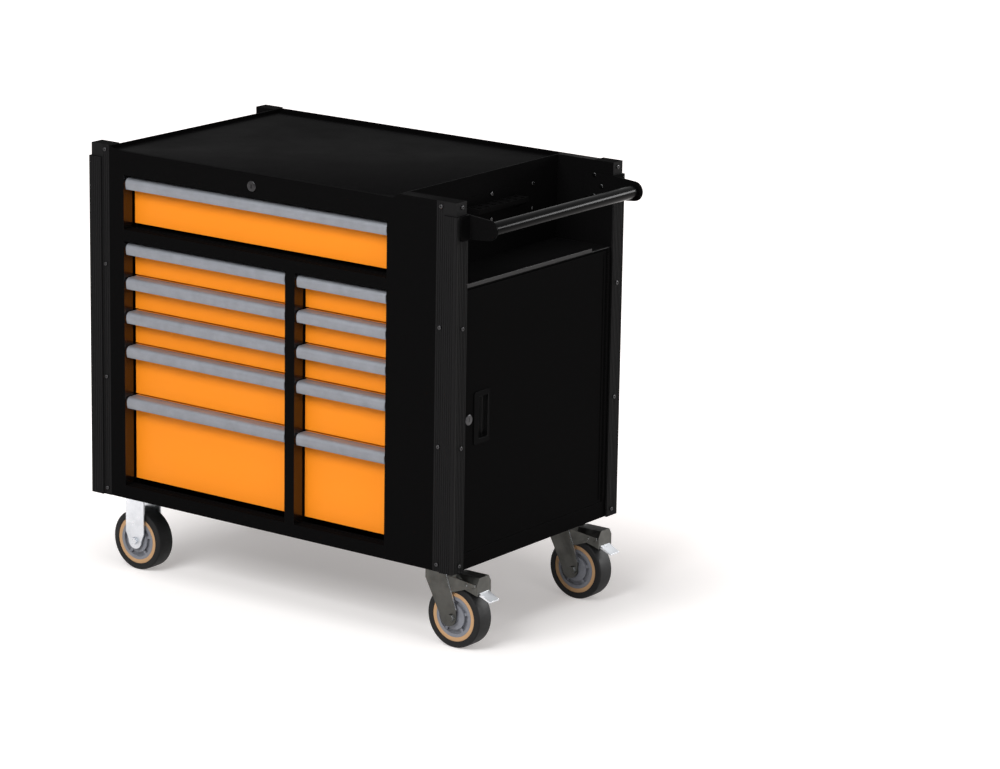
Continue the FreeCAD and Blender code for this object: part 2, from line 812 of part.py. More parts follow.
def knuckles(first, step):
    """Every second barrel of the hinge, with the flat leaf that it is rolled from."""
    low, high = hinge_levels()
    pitch = (high - low) / knuckle_count
    rolls = []
    for k in range(first, knuckle_count, 2):
        z = low + k * pitch + knuckle_gap / 2
        rolls.append(rod(hinge_x(), hinge_y(), z, knuckle_radius, pitch - knuckle_gap, Z))
        y0, y1 = sorted((hinge_y(), hinge_y() + step * leaf_width))
        rolls.append(box(panel_x, panel_x + leaf_thickness, y0, y1, z, z + pitch - knuckle_gap))
    y0, y1 = sorted((hinge_y() + step * (knuckle_radius + knuckle_room), hinge_y() + step * leaf_width))
    rolls.append(box(panel_x, panel_x + leaf_thickness, y0, y1, low, high))
    return rolls


def hinge_cheek(step):
    """Room for the knuckles beside the door's or the frame's edge."""
    low, high = hinge_levels()
    y0, y1 = sorted((hinge_y(), hinge_y() + step * (knuckle_radius + knuckle_room)))
    return box(panel_x - knuckle_radius, panel_x, y0, y1, low, high)


def hinge_frame_leaf():
    """Leaf on the side frame, with the pin fixed in its knuckles."""
    low, high = hinge_levels()
    pin = rod(hinge_x(), hinge_y(), low, hinge_pin_radius, high - low, Z)
    return join(knuckles(0, 1) + [pin])


def hinge_door_leaf():
    """Leaf on the door, whose knuckles turn on the pin."""
    low, high = hinge_levels()
    bore = rod(hinge_x(), hinge_y(), low, hinge_pin_radius + hinge_fit, high - low, Z)
    return join(knuckles(1, -1)).cut(bore)


def right_side_frame():
    """Sill, rear stile, strike and header round the locker's doorway."""
    x0 = panel_x - side_frame_depth
    front, rear, low, high = door_edges()
    top = well_level - sheet
    sill_top = low - door_gap / 2
    sill = box(panel_x - sheet, panel_x, post_depth, rear_post_y, frame_bottom, sill_top)
    sill_return = box(x0, panel_x, post_depth, rear_post_y, sill_top - sheet, sill_top)
    head_top = box(x0, panel_x, post_depth, rear_post_y, top - sheet, top)
    head_face = box(panel_x - sheet, panel_x, post_depth, rear_post_y, high + door_gap, top)
    stile = box(panel_x - sheet, panel_x, hinge_y() + door_gap, rear_post_y, frame_bottom, top)
    stile_return = box(x0, panel_x, hinge_y() + door_gap, hinge_y() + door_gap + sheet,
                       sill_top - sheet, top)
    stop_x = panel_x - door_depth - strike_gap
    strike = box(stop_x - sheet, stop_x, post_depth, post_depth + strike_width,
                 sill_top - sheet, top)
    frame = join([sill, sill_return, head_top, head_face, stile, stile_return, strike])
    return frame.cut(hinge_cheek(1))


def well_floor():
    """Floor of the open well, over the locker, with a lip along its right edge."""
    x1 = panel_x - sheet
    floor = box(wall_x, x1, sheet, rear_post_y, well_level - sheet, well_level)
    lip = box(x1 - sheet, x1, post_depth, rear_post_y - well_lip_short, well_level - sheet,
              well_level + well_lip)
    shelf = join([floor, lip])
    return shelf.cut(box(right_post_x, side_x, 0, post_depth, foot_level, post_top))


def locker_shelf():
    """Shelf across the locker, with turned down edges."""
    z1 = floor_level + locker_shelf_height
    x1 = panel_x - side_frame_depth - shelf_gap
    y0 = sheet + shelf_gap
    y1 = rear_post_y - shelf_gap
    outer = box(wall_x, x1, y0, y1, z1 - shelf_turn, z1)
    hollow = box(wall_x + sheet, x1 - sheet, y0 + sheet, y1 - sheet, z1 - shelf_turn, z1 - sheet)
    shelf = outer.cut(hollow)
    margin = box(right_post_x - shelf_gap, side_x, 0, post_depth + shelf_gap, foot_level, post_top)
    return shelf.cut(margin)


def handle_level():
    return post_top - handle_drop


def bracket_screw_spots():
    """The three screws that hold the front bracket to the post's inner face."""
    x = side_x - bracket_inner + bracket_screw_inset
    y = post_depth + bracket_thickness
    z = handle_level()
    return [(Vector(x, y, z + bracket_screw_spread), Y), (Vector(x, y, z - bracket_screw_spread), Y),
            (Vector(x + bracket_screw_step, y, z), Y)]


def handle_bracket():
    """Front bracket: a plate on the post's inner face, a rounded end and a side flange."""
    x0 = side_x - bracket_inner
    y0 = post_depth
    z = handle_level()
    half = bracket_half_height
    arm = slab([Vector(x0, y0, z - half), Vector(side_x, y0, z - half),
                Vector(handle_x, y0, z - bracket_end_radius),
                Vector(handle_x, y0, z + bracket_end_radius),
                Vector(side_x, y0, z + half), Vector(x0, y0, z + half)], Y * bracket_thickness)
    end = rod(handle_x, y0, z, bracket_end_radius, bracket_thickness, Y)
    wrap_x = side_x + guard_thickness
    wrap = box(wrap_x, wrap_x + bracket_thickness, post_depth + bracket_thickness - bracket_wrap,
               post_depth + bracket_thickness, z - half, z + half)
    corners = [e for e in wrap.Edges if len(e.Vertexes) == 2
               and all(abs(v.Y - (post_depth + bracket_thickness - bracket_wrap)) < 0.01
                       for v in e.Vertexes)
               and abs(e.Vertexes[0].X - e.Vertexes[1].X) > 0.5]
    wrap = wrap.makeFillet(half * 0.25, corners)
    bracket = join([arm, end, wrap])
    return bracket.cut([screw_hole(p.x, p.y, p.z, out) for p, out in bracket_screw_spots()])


def handle_tube():
    """Push handle tube between the two brackets."""
    y0 = post_depth + bracket_thickness
    length = cabinet_depth - 2 * y0
    tube = rod(handle_x, y0, handle_level(), tube_radius, length, Y)
    return tube.cut(rod(handle_x, y0, handle_level(), tube_radius - tube_wall, length, Y))


def rack_place():
    """Front, back, lower and upper edge of the rack's plate on the well's inner wall."""
    y1 = rear_post_y - rack_back_gap
    z1 = post_top - rack_plate_top
    return y1 - rack_length, y1, z1 - rack_plate_height, z1


def rack_screw_spots():
    y0, y1, z0, z1 = rack_place()
    spots = []
    for y in (y0 + rack_screw_inset, (y0 + y1) / 2, y1 - rack_screw_inset):
        for z in (z1 - rack_screw_top, z1 - rack_screw_top - rack_screw_spread):
            spots.append((Vector(wall_x + sheet, y, z), X))
    return spots


def tool_rack():
    """Wall plate with a perforated shelf for tools that hang by their handles."""
    y0, y1, z0, z1 = rack_place()
    plate = box(wall_x, wall_x + sheet, y0, y1, z0, z1)
    top = z1 - rack_shelf_drop
    tip = wall_x + sheet + rack_shelf_depth
    a = y0 + rack_shelf_inset
    b = y1 - rack_shelf_inset
    shelf = box(wall_x, tip, a, b, top - sheet, top)
    lip = box(tip - sheet, tip, a, b, top - rack_lip, top)
    gussets = []
    for y in (a, b - sheet):
        gussets.append(slab([Vector(wall_x, y, top), Vector(wall_x, y, top - rack_gusset),
                             Vector(tip, y, top - rack_lip), Vector(tip, y, top)], Y * sheet))
    rack = join([plate, shelf, lip] + gussets)
    row_step = rack_shelf_depth / rack_rows
    column_step = (b - a) / rack_columns
    holes = []
    for r in range(rack_rows):
        for c in range(rack_columns):
            holes.append(rod(wall_x + sheet + row_step * (r + 0.5), a + column_step * (c + 0.5),
                             top - 2 * sheet, rack_hole_radius, 3 * sheet, Z))
    holes += [screw_hole(p.x, p.y, p.z, out) for p, out in rack_screw_spots()]
    return rack.cut(holes)


def cabinet_screws():
    """Screws of the posts, the guards, the rack and the brackets, and the casters' bolts."""
    screws = [plate_bolt(x, y) for x, y in plate_bolt_spots()]
    for p, out in post_screw_spots():
        screws += four_corners(screw(p.x, p.y, p.z, out))
    for p, out in rack_screw_spots():
        screws.append(screw(p.x, p.y, p.z, out))
    for p, out in bracket_screw_spots():
        one = screw(p.x, p.y, p.z, out)
        screws += [one, mirror_y(one)]
    return screws


def wheel_tyre(x, y):
    """Solid tyre with rounded shoulders and a slightly crowned tread."""
    half = wheel_width / 2
    edge = wheel_radius - tread_crown
    profile = [(band_radius, 0)]
    steps = 3
    for k in range(steps + 1):
        turn = math.radians(90 * k / steps)
        profile.append((edge - shoulder_height * (1 - math.sin(turn)),
                        shoulder_width * (1 - math.cos(turn))))
    profile.append((wheel_radius, half))
    points = [Vector(x, y - half + d, wheel_radius + r) for r, d in profile]
    points += [Vector(x, y + half - d, wheel_radius + r) for r, d in reversed(profile[:-1])]
    face = Part.Face(Part.makePolygon(points + [points[0]]))
    return face.revolve(Vector(x, y, wheel_radius), Y, 360)


def wheel_core(x, y):
    """Coloured band, and a cast core with ribs between its rim and its boss."""
    half = wheel_width / 2
    start = y - half
    centre = wheel_radius
    band = rod(x, start + band_inset, centre, band_radius, wheel_width - 2 * band_inset, Y)
    band = band.cut(rod(x, start, centre, core_radius, wheel_width, Y))
    core = rod(x, start + band_inset, centre, core_radius, wheel_width - 2 * band_inset, Y)
    dish = (wheel_width - web_thickness) / 2
    for y0 in (start, y + half - dish):
        ring = rod(x, y0, centre, core_radius - rim_wall, dish, Y)
        ring = ring.cut(rod(x, y0, centre, boss_radius, dish, Y))
        core = core.cut(ring)
    ribs = []
    for k in range(rib_count):
        rib = box(x - rib_thickness / 2, x + rib_thickness / 2, start + band_inset + rib_recess,
                  y + half - band_inset - rib_recess, centre + boss_radius - 1,
                  centre + core_radius - rim_wall + 1)
        rib.rotate(Vector(x, y, centre), Y, 360 * k / rib_count)
        ribs.append(rib)
    reach = leg_span()[0] - hub_play
    hub = rod(x, y - reach, centre, hub_radius, 2 * reach, Y)
    core = join([core, hub] + ribs)
    core = core.cut(rod(x, y - reach, centre, axle_radius + axle_fit, 2 * reach, Y))
    return [core, band]


def leg_span():
    """Inner and outer distance of a fork leg from the wheel's middle."""
    inner = wheel_width / 2 + fork_gap
    return inner, inner + fork_sheet


def axle(x, y):
    """Axle bolt with a head and a nut outside the fork."""
    outer = leg_span()[1]
    shaft = rod(x, y - outer, wheel_radius, axle_radius, 2 * outer, Y)
    head = hexagon(x, y - outer - axle_head, wheel_radius, axle_head_radius, axle_head, Y)
    nut = hexagon(x, y + outer, wheel_radius, axle_head_radius, axle_head, Y)
    return join([shaft, head, nut])


def top_plate(x, y):
    """Mounting plate with its four bolt holes."""
    z0 = foot_level - plate_thickness
    plate = box(x - plate_length / 2, x + plate_length / 2, y - plate_breadth / 2,
                y + plate_breadth / 2, z0, foot_level)
    for dx in (-plate_bolt_x / 2, plate_bolt_x / 2):
        for dy in (-plate_bolt_y / 2, plate_bolt_y / 2):
            plate = plate.cut(rod(x + dx, y + dy, z0, plate_hole_radius, plate_thickness, Z))
    return plate


def plate_bolt_spots():
    """Where bolts go up through the caster plates and the base."""
    spots = []
    for row, y in caster_rows():
        for x in (caster_inset_x, side_x - caster_inset_x):
            for dx in (-plate_bolt_x / 2, plate_bolt_x / 2):
                for dy in (-plate_bolt_y / 2, plate_bolt_y / 2):
                    spots.append((x + dx, y + dy))
    return spots


def plate_bolt(x, y):
    """Hexagon bolt with its head under the plate and its nut on the base."""
    z0 = foot_level - plate_thickness
    head = hexagon(x, y, z0 - plate_bolt_head, plate_bolt_head_radius, plate_bolt_head, Z)
    shank = rod(x, y, z0, plate_bolt_radius, plate_thickness + base_sheet, Z)
    nut = hexagon(x, y, floor_level, plate_bolt_head_radius, plate_bolt_head, Z)
    return join([head, shank, nut])


def rigid_fork(x, y):
    """Plate, crown and two tapered legs of a fixed caster."""
    top = foot_level - plate_thickness
    inner, outer = leg_span()
    half = rigid_leg_width / 2
    crown = box(x - half, x + half, y - outer, y + outer, top - fork_sheet, top)
    taper_z = min(rigid_leg_straight, top - 2 * fork_sheet)
    legs = []
    for y0 in (y - outer, y + inner):
        leg = slab([Vector(x - half, y0, top), Vector(x - half, y0, taper_z),
                    Vector(x - rigid_end_radius, y0, wheel_radius),
                    Vector(x + rigid_end_radius, y0, wheel_radius),
                    Vector(x + half, y0, taper_z), Vector(x + half, y0, top)], Y * fork_sheet)
        end = rod(x, y0, wheel_radius, rigid_end_radius, fork_sheet, Y)
        legs += [leg, end]
    fork = join([top_plate(x, y), crown] + legs)
    return fork.cut(rod(x, y - outer, wheel_radius, axle_radius, 2 * outer, Y))


def swivel_top(x, y):
    """Plate, upper race, kingpin and nut of a swivel caster, fixed to the cabinet."""
    top = foot_level - plate_thickness
    race = rod(x, y, top - race_height, race_radius, race_height, Z)
    crown_low = top - race_height - race_gap - fork_sheet
    pin = rod(x, y, crown_low - race_gap, kingpin_radius, top - crown_low + race_gap, Z)
    nut_top = crown_low - race_gap
    nut = hexagon(x, y, nut_top - kingpin_nut, kingpin_nut_radius, kingpin_nut, Z)
    return join([top_plate(x, y), race, pin, nut])


def crown_top():
    return foot_level - plate_thickness - race_height - race_gap


def swivel_leg(x, y0):
    """One raked leg of a swivel fork, whose inner or outer face is at y0."""
    top = crown_top()
    half = swivel_leg_width / 2
    end_x = x + swivel_offset - swivel_end_shift
    low = wheel_radius
    leg = slab([Vector(x - half, y0, top), Vector(x - half, y0, top - swivel_leg_drop),
                Vector(end_x - swivel_end_radius, y0, low),
                Vector(end_x + swivel_end_radius, y0, low),
                Vector(end_x + swivel_end_radius, y0, low + swivel_leg_bend),
                Vector(x + half, y0, top)], Y * fork_sheet)
    end = rod(end_x, y0, low, swivel_end_radius, fork_sheet, Y)
    return [leg, end]


def brake_cheek(x, y0):
    """Thin plate in front of a swivel leg that carries one end of the pedal's pin."""
    axle_x = x + swivel_offset
    nose = axle_x + cheek_reach
    return slab([Vector(x, y0, cheek_top), Vector(x, y0, cheek_root), Vector(axle_x, y0, cheek_root),
                 Vector(nose, y0, cheek_nose - cheek_nose_height / 2),
                 Vector(nose, y0, cheek_nose + cheek_nose_height / 2),
                 Vector(axle_x, y0, cheek_top)], Y * cheek_sheet)


def swivel_fork(x, y):
    """Crown and two raked legs that trail to the right, with cheeks for the brake pedal."""
    axle_x = x + swivel_offset
    top = crown_top()
    inner, outer = leg_span()
    half = swivel_leg_width / 2
    crown = rod(x, y, top - fork_sheet, race_radius, fork_sheet, Z)
    bridge = box(x - half, x + half, y - outer, y + outer, top - fork_sheet, top)
    sides = swivel_leg(x, y - outer) + swivel_leg(x, y + inner)
    sides += [brake_cheek(x, y - inner - cheek_sheet), brake_cheek(x, y + inner)]
    fork = join([crown, bridge] + sides)
    fork = fork.cut(rod(x, y, top - fork_sheet, kingpin_radius + kingpin_fit, fork_sheet, Z))
    fork = fork.cut(rod(axle_x, y - outer, wheel_radius, axle_radius, 2 * outer, Y))
    pin = rod(axle_x + pedal_pivot_out, y - outer, pedal_pivot_height, pedal_pin_radius,
              2 * outer, Y)
    return join([fork, pin])


def hood_section(x, y, wall):
    """Cross section of the pedal's hood with its sloping shoulders, drawn in by a wall."""
    half = pedal_width / 2 - wall
    flat = pedal_width / 2 - pedal_shoulder_width - wall / 2
    shoulder = pedal_shoulder - wall / 2
    low = min(pedal_bottom, pedal_rear_bottom) - wall
    return [Vector(x, y - half, low), Vector(x, y - half, shoulder),
            Vector(x, y - flat, pedal_top - wall), Vector(x, y + flat, pedal_top - wall),
            Vector(x, y + half, shoulder), Vector(x, y + half, low)]


def brake_pedal(x, y):
    """Pedal between the fork's cheeks: a hood with a toe plate and a tube on its pin."""
    pivot_x = x + swivel_offset + pedal_pivot_out
    tip = pivot_x + pedal_reach
    rear = pivot_x - pedal_back
    y0 = y - pedal_width / 2
    hood = slab(hood_section(rear, y, 0), X * (tip - rear))
    hood = hood.cut(slab(hood_section(rear, y, pedal_wall), X * (tip - rear - pedal_wall)))
    below = slab([Vector(rear, y0, pedal_rear_bottom), Vector(tip, y0, pedal_bottom),
                  Vector(tip, y0, 0), Vector(rear, y0, 0)], Y * pedal_width)
    hood = hood.cut(below)
    boss = rod(pivot_x, y0, pedal_pivot_height, 2 * pedal_pin_radius, pedal_width, Y)
    half_toe = pedal_toe_width / 2
    low = pedal_bottom - pedal_toe_drop
    toe = slab([Vector(tip - pedal_wall, y - half_toe, pedal_bottom + pedal_wall),
                Vector(tip - pedal_wall, y - half_toe, pedal_bottom),
                Vector(tip + pedal_toe, y - half_toe, low),
                Vector(tip + pedal_toe, y - half_toe, low + pedal_wall),
                Vector(tip, y - half_toe, pedal_bottom + 2 * pedal_wall)], Y * pedal_toe_width)
    pedal = join([hood, boss, toe])
    return pedal.cut(rod(pivot_x, y0, pedal_pivot_height, pedal_pin_radius + pedal_pin_fit,
                         pedal_width, Y))


def caster_rows():
    """Front and rear middle planes of the casters."""
    return (("front", caster_inset_y), ("rear", cabinet_depth - caster_inset_y))


def build():
    """Make and save every node."""
    save("front_frame", front_frame())
    save("left_side_panel", left_side_panel())
    save("back_panel", back_panel())
    save("base_pan", base_pan())
    save("worktop", worktop())
    save("locker_partition", locker_partition())
    save("bay_dividers", cross_shelf(), centre_divider())
    save("slide_uprights", *slide_uprights())
    save("well_floor", well_floor())
    save("locker_shelf", locker_shelf())
    save("right_side_frame", right_side_frame())
    save("corner_posts", *corner_posts())
    save("corner_guards", *four_corners(corner_guard()))
    save("cabinet_screws", *cabinet_screws())
    save("tool_rack", tool_rack())
    save("handle_tube", handle_tube())
    bracket = handle_bracket()
    save("handle_brackets", bracket, mirror_y(bracket))
    save("hinge_frame_leaf", hinge_frame_leaf())
    save("hinge_door_leaf", hinge_door_leaf())
    save("locker_door", locker_door().cut(hinge_cheek(-1)))
    save("door_pull", door_pull())
    lock_y, lock_z = door_lock_place()
    barrel = moved(lock_barrel(X, lock_body), panel_x, lock_y, lock_z)
    cam = moved(lock_cam(X, lock_body), panel_x, lock_y, lock_z)
    save("door_lock", barrel, cam)
    barrel = moved(lock_barrel(Y * -1, lock_body), top_lock_x, 0, top_lock_z())
    cam = moved(lock_cam(Y * -1, lock_body), top_lock_x, 0, top_lock_z())
    save("drawer_lock", barrel, cam)
    rails = []
    for name, x0, x1, z0, z1 in drawer_rows():
        save(name, *drawer(x0, x1, z0, z1))
        save(name + "_pull", drawer_pull(x0, x1, z1))
        rails += [outer_slide(x0, 1, z0), outer_slide(x1, -1, z0)]
    save("cabinet_slides", *rails)
    left_x = caster_inset_x
    king_x = side_x - caster_inset_x
    forks = []
    plates = []
    for row, y in caster_rows():
        forks += [rigid_fork(left_x, y), axle(left_x, y)]
        plates.append(swivel_top(king_x, y))
        save(row + "_swivel_fork", swivel_fork(king_x, y), axle(king_x + swivel_offset, y))
        save(row + "_brake_pedal", brake_pedal(king_x, y))
        for side, x in (("left", left_x), ("right", king_x + swivel_offset)):
            save(row + "_" + side + "_tyre", wheel_tyre(x, y))
            save(row + "_" + side + "_wheel_core", *wheel_core(x, y))
    save("rigid_casters", *forks)
    save("swivel_top_plates", *plates)


build()
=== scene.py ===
# %% [markdown]
# # A rolling tool workstation
#
# The real object is a cabinet of folded sheet steel on four casters: eleven drawers with aluminium
# pulls, a locker with an open well over it at the right end, a push handle and fluted corner
# posts. The solids come from a CAD model, already in place and in metres. This lesson gives them
# softened edges, smooth round parts and paint, metal and rubber that behave like the real ones.

import json
import math

import bmesh
import bpy
import numpy as np
from mathutils import Matrix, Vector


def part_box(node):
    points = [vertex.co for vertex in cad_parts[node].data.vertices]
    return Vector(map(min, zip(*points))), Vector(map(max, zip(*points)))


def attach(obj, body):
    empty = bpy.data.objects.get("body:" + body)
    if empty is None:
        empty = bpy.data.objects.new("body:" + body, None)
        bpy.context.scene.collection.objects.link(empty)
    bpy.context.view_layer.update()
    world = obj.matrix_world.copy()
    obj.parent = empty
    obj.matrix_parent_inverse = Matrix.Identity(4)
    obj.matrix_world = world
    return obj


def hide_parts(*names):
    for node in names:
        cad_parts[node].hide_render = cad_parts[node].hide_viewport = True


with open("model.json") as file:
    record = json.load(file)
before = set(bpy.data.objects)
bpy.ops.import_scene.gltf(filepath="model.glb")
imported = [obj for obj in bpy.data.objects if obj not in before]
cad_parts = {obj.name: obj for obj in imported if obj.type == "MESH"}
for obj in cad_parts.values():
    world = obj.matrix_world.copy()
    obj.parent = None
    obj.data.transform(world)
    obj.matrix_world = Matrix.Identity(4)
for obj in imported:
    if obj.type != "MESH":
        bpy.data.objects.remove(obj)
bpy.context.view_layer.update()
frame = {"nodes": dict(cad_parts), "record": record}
nodes = frame["nodes"]

# %% [markdown]
# ## Which body carries which node
#
# Every piece has to move with the body that it belongs to, so a small look-up table is made once.
# The record also says which paint or metal each node has, by the name of its material slot.

# %% Bodies and material slots of the nodes
body_of_node = {}
for body_name, members in frame["record"]["behaviour"]["bodies"].items():
    for member in members:
        body_of_node[member] = body_name
slot_of_node = {}
for entry in frame["record"]["subparts"]:
    slot_of_node[entry["node"]] = entry["material_slot"]
pull_nodes = sorted(n for n in nodes if n.endswith("_pull") and n != "door_pull")
drawer_nodes = sorted(n[:-len("_pull")] for n in pull_nodes)
wheel_names = [row + "_" + side for row in ("front", "rear") for side in ("left", "right")]
print("drawers:", len(drawer_nodes), "wheels:", len(wheel_names))

# %% [markdown]
# ## Surface effects shared by several finishes
#
# Paint, plastic and metal share a few effects: a fine grain in the coat, soft smudges that change
# the gloss, dust that settles on surfaces that face up, and long drawn lines. Each effect is a
# node group, so that a finish only sets how strong it is. The groups put out values, masks and
# normals; the shader itself stays in each material.

# %% A helper that starts a node group
def new_group(name, inputs, outputs):
    """Node group with float inputs (name, default) and outputs (name, socket type)."""
    group = bpy.data.node_groups.new(name, "ShaderNodeTree")
    for label, value in inputs:
        socket = group.interface.new_socket(label, in_out="INPUT", socket_type="NodeSocketFloat")
        socket.default_value = value
    for label, kind in outputs:
        group.interface.new_socket(label, in_out="OUTPUT", socket_type=kind)
    return group, group.nodes.new("NodeGroupInput"), group.nodes.new("NodeGroupOutput")


# %% Fine grain of a sprayed coat
def make_coat_grain():
    """Normal of small rounded bumps: two sizes of noise, added, as the height of a bump."""
    group, given, result = new_group("coat_grain", [("Scale", 900.0), ("Strength", 0.2)],
                                     [("Normal", "NodeSocketVector")])
    links = group.links
    place = group.nodes.new("ShaderNodeTexCoord")
    fine = group.nodes.new("ShaderNodeTexNoise")
    fine.inputs["Detail"].default_value = 2.0
    wide = group.nodes.new("ShaderNodeTexNoise")
    wide.inputs["Scale"].default_value = 140.0
    wide.inputs["Detail"].default_value = 1.0
    both = group.nodes.new("ShaderNodeMath")
    both.operation = "ADD"
    bump = group.nodes.new("ShaderNodeBump")
    bump.inputs["Distance"].default_value = 0.00008
    links.new(place.outputs["Object"], fine.inputs["Vector"])
    links.new(place.outputs["Object"], wide.inputs["Vector"])
    links.new(given.outputs["Scale"], fine.inputs["Scale"])
    links.new(fine.outputs["Fac"], both.inputs[0])
    links.new(wide.outputs["Fac"], both.inputs[1])
    links.new(both.outputs[0], bump.inputs["Height"])
    links.new(given.outputs["Strength"], bump.inputs["Strength"])
    links.new(bump.outputs["Normal"], result.inputs["Normal"])
    return group


coat_grain = make_coat_grain()
print("group:", coat_grain.name)


# %% Smudges that change the gloss
def make_gloss_smudges():
    """A value that wanders softly between Low and High: stretched noise through a map range."""
    group, given, result = new_group("gloss_smudges",
                                     [("Scale", 7.0), ("Low", 0.35), ("High", 0.5)],
                                     [("Value", "NodeSocketFloat")])
    links = group.links
    place = group.nodes.new("ShaderNodeTexCoord")
    noise = group.nodes.new("ShaderNodeTexNoise")
    noise.inputs["Detail"].default_value = 6.0
    noise.inputs["Roughness"].default_value = 0.6
    spread = group.nodes.new("ShaderNodeMapRange")
    spread.inputs["From Min"].default_value = 0.3
    spread.inputs["From Max"].default_value = 0.7
    links.new(place.outputs["Object"], noise.inputs["Vector"])
    links.new(given.outputs["Scale"], noise.inputs["Scale"])
    links.new(noise.outputs["Fac"], spread.inputs["Value"])
    links.new(given.outputs["Low"], spread.inputs["To Min"])
    links.new(given.outputs["High"], spread.inputs["To Max"])
    links.new(spread.outputs["Result"], result.inputs["Value"])
    return group


gloss_smudges = make_gloss_smudges()
print("group:", gloss_smudges.name)


# %% Dust on surfaces that face up
def make_settled_dust():
    """A mask: how far the surface faces up, squared, times patchy noise, times Amount."""
    group, given, result = new_group("settled_dust", [("Amount", 0.1)],
                                     [("Mask", "NodeSocketFloat")])
    links = group.links
    geometry = group.nodes.new("ShaderNodeNewGeometry")
    split = group.nodes.new("ShaderNodeSeparateXYZ")
    up = group.nodes.new("ShaderNodeMath")
    up.operation = "POWER"
    up.use_clamp = True
    up.inputs[1].default_value = 2.0
    keep_up = group.nodes.new("ShaderNodeMath")
    keep_up.operation = "MAXIMUM"
    keep_up.inputs[1].default_value = 0.0
    place = group.nodes.new("ShaderNodeTexCoord")
    noise = group.nodes.new("ShaderNodeTexNoise")
    noise.inputs["Scale"].default_value = 35.0
    noise.inputs["Detail"].default_value = 8.0
    noise.inputs["Roughness"].default_value = 0.7
    patchy = group.nodes.new("ShaderNodeMath")
    patchy.operation = "MULTIPLY"
    amount = group.nodes.new("ShaderNodeMath")
    amount.operation = "MULTIPLY"
    links.new(geometry.outputs["Normal"], split.inputs[0])
    links.new(split.outputs["Z"], keep_up.inputs[0])
    links.new(keep_up.outputs[0], up.inputs[0])
    links.new(place.outputs["Object"], noise.inputs["Vector"])
    links.new(up.outputs[0], patchy.inputs[0])
    links.new(noise.outputs["Fac"], patchy.inputs[1])
    links.new(patchy.outputs[0], amount.inputs[0])
    links.new(given.outputs["Amount"], amount.inputs[1])
    links.new(amount.outputs[0], result.inputs["Mask"])
    return group


settled_dust = make_settled_dust()
print("group:", settled_dust.name)


# %% Long fine lines of drawn or brushed metal
def make_drawn_lines():
    """A value that changes fast across x, y or z and slowly along it: noise on stretched space."""
    group = bpy.data.node_groups.new("drawn_lines", "ShaderNodeTree")
    stretch = group.interface.new_socket("Stretch", in_out="INPUT", socket_type="NodeSocketVector")
    stretch.default_value = (6.0, 900.0, 900.0)
    for label, value in (("Low", 0.3), ("High", 0.5)):
        socket = group.interface.new_socket(label, in_out="INPUT", socket_type="NodeSocketFloat")
        socket.default_value = value
    group.interface.new_socket("Value", in_out="OUTPUT", socket_type="NodeSocketFloat")
    given = group.nodes.new("NodeGroupInput")
    result = group.nodes.new("NodeGroupOutput")
    links = group.links
    place = group.nodes.new("ShaderNodeTexCoord")
    scale = group.nodes.new("ShaderNodeVectorMath")
    scale.operation = "MULTIPLY"
    noise = group.nodes.new("ShaderNodeTexNoise")
    noise.inputs["Scale"].default_value = 1.0
    noise.inputs["Detail"].default_value = 4.0
    spread = group.nodes.new("ShaderNodeMapRange")
    spread.inputs["From Min"].default_value = 0.3
    spread.inputs["From Max"].default_value = 0.7
    links.new(place.outputs["Object"], scale.inputs[0])
    links.new(given.outputs["Stretch"], scale.inputs[1])
    links.new(scale.outputs[0], noise.inputs["Vector"])
    links.new(noise.outputs["Fac"], spread.inputs["Value"])
    links.new(given.outputs["Low"], spread.inputs["To Min"])
    links.new(given.outputs["High"], spread.inputs["To Max"])
    links.new(spread.outputs["Result"], result.inputs["Value"])
    return group


drawn_lines = make_drawn_lines()
print("group:", drawn_lines.name)

# %% [markdown]
# ## Finishes
#
# Each finish is one material with a Principled shader. Its colour, its gloss and its small relief
# come from the shared groups and from colour mixes. Values that are the same all over the surface
# are typed straight into the shader's sockets.

# %% Helpers for a finish
def new_finish(name, **values):
    """Material whose Principled shader has the given socket values."""
    material = bpy.data.materials.new(name)
    material.use_nodes = True
    shader = material.node_tree.nodes["Principled BSDF"]
    for label, value in values.items():
        shader.inputs[label.replace("_", " ")].default_value = value
    return material, material.node_tree, shader


def place_group(tree, group, **values):
    """One use of a node group in a material, with its own input values."""
    node = tree.nodes.new("ShaderNodeGroup")
    node.node_tree = group
    for label, value in values.items():
        node.inputs[label].default_value = value
    return node


def mix_colours(tree, first, second, mask):
    """A mix of two colours by a mask socket; returns the mixed colour's socket."""
    mix = tree.nodes.new("ShaderNodeMix")
    mix.data_type = "RGBA"
    mix.inputs["A"].default_value = (*first, 1)
    mix.inputs["B"].default_value = (*second, 1)
    tree.links.new(mask, mix.inputs["Factor"])
    return mix.outputs["Result"]


# %% Painted steel
def painted_steel(name, colour, dust_colour, dust, gloss, grain, level):
    """Sprayed coat: even colour, gloss (low, high), relief (strength, scale) and dust."""
    material, tree, shader = new_finish(name, Specular_IOR_Level=level)
    dusting = place_group(tree, settled_dust, Amount=dust)
    tree.links.new(mix_colours(tree, colour, dust_colour, dusting.outputs["Mask"]),
                   shader.inputs["Base Color"])
    smudges = place_group(tree, gloss_smudges, Scale=6.0, Low=gloss[0], High=gloss[1])
    tree.links.new(smudges.outputs["Value"], shader.inputs["Roughness"])
    relief = place_group(tree, coat_grain, Scale=grain[1], Strength=grain[0])
    tree.links.new(relief.outputs["Normal"], shader.inputs["Normal"])
    return material


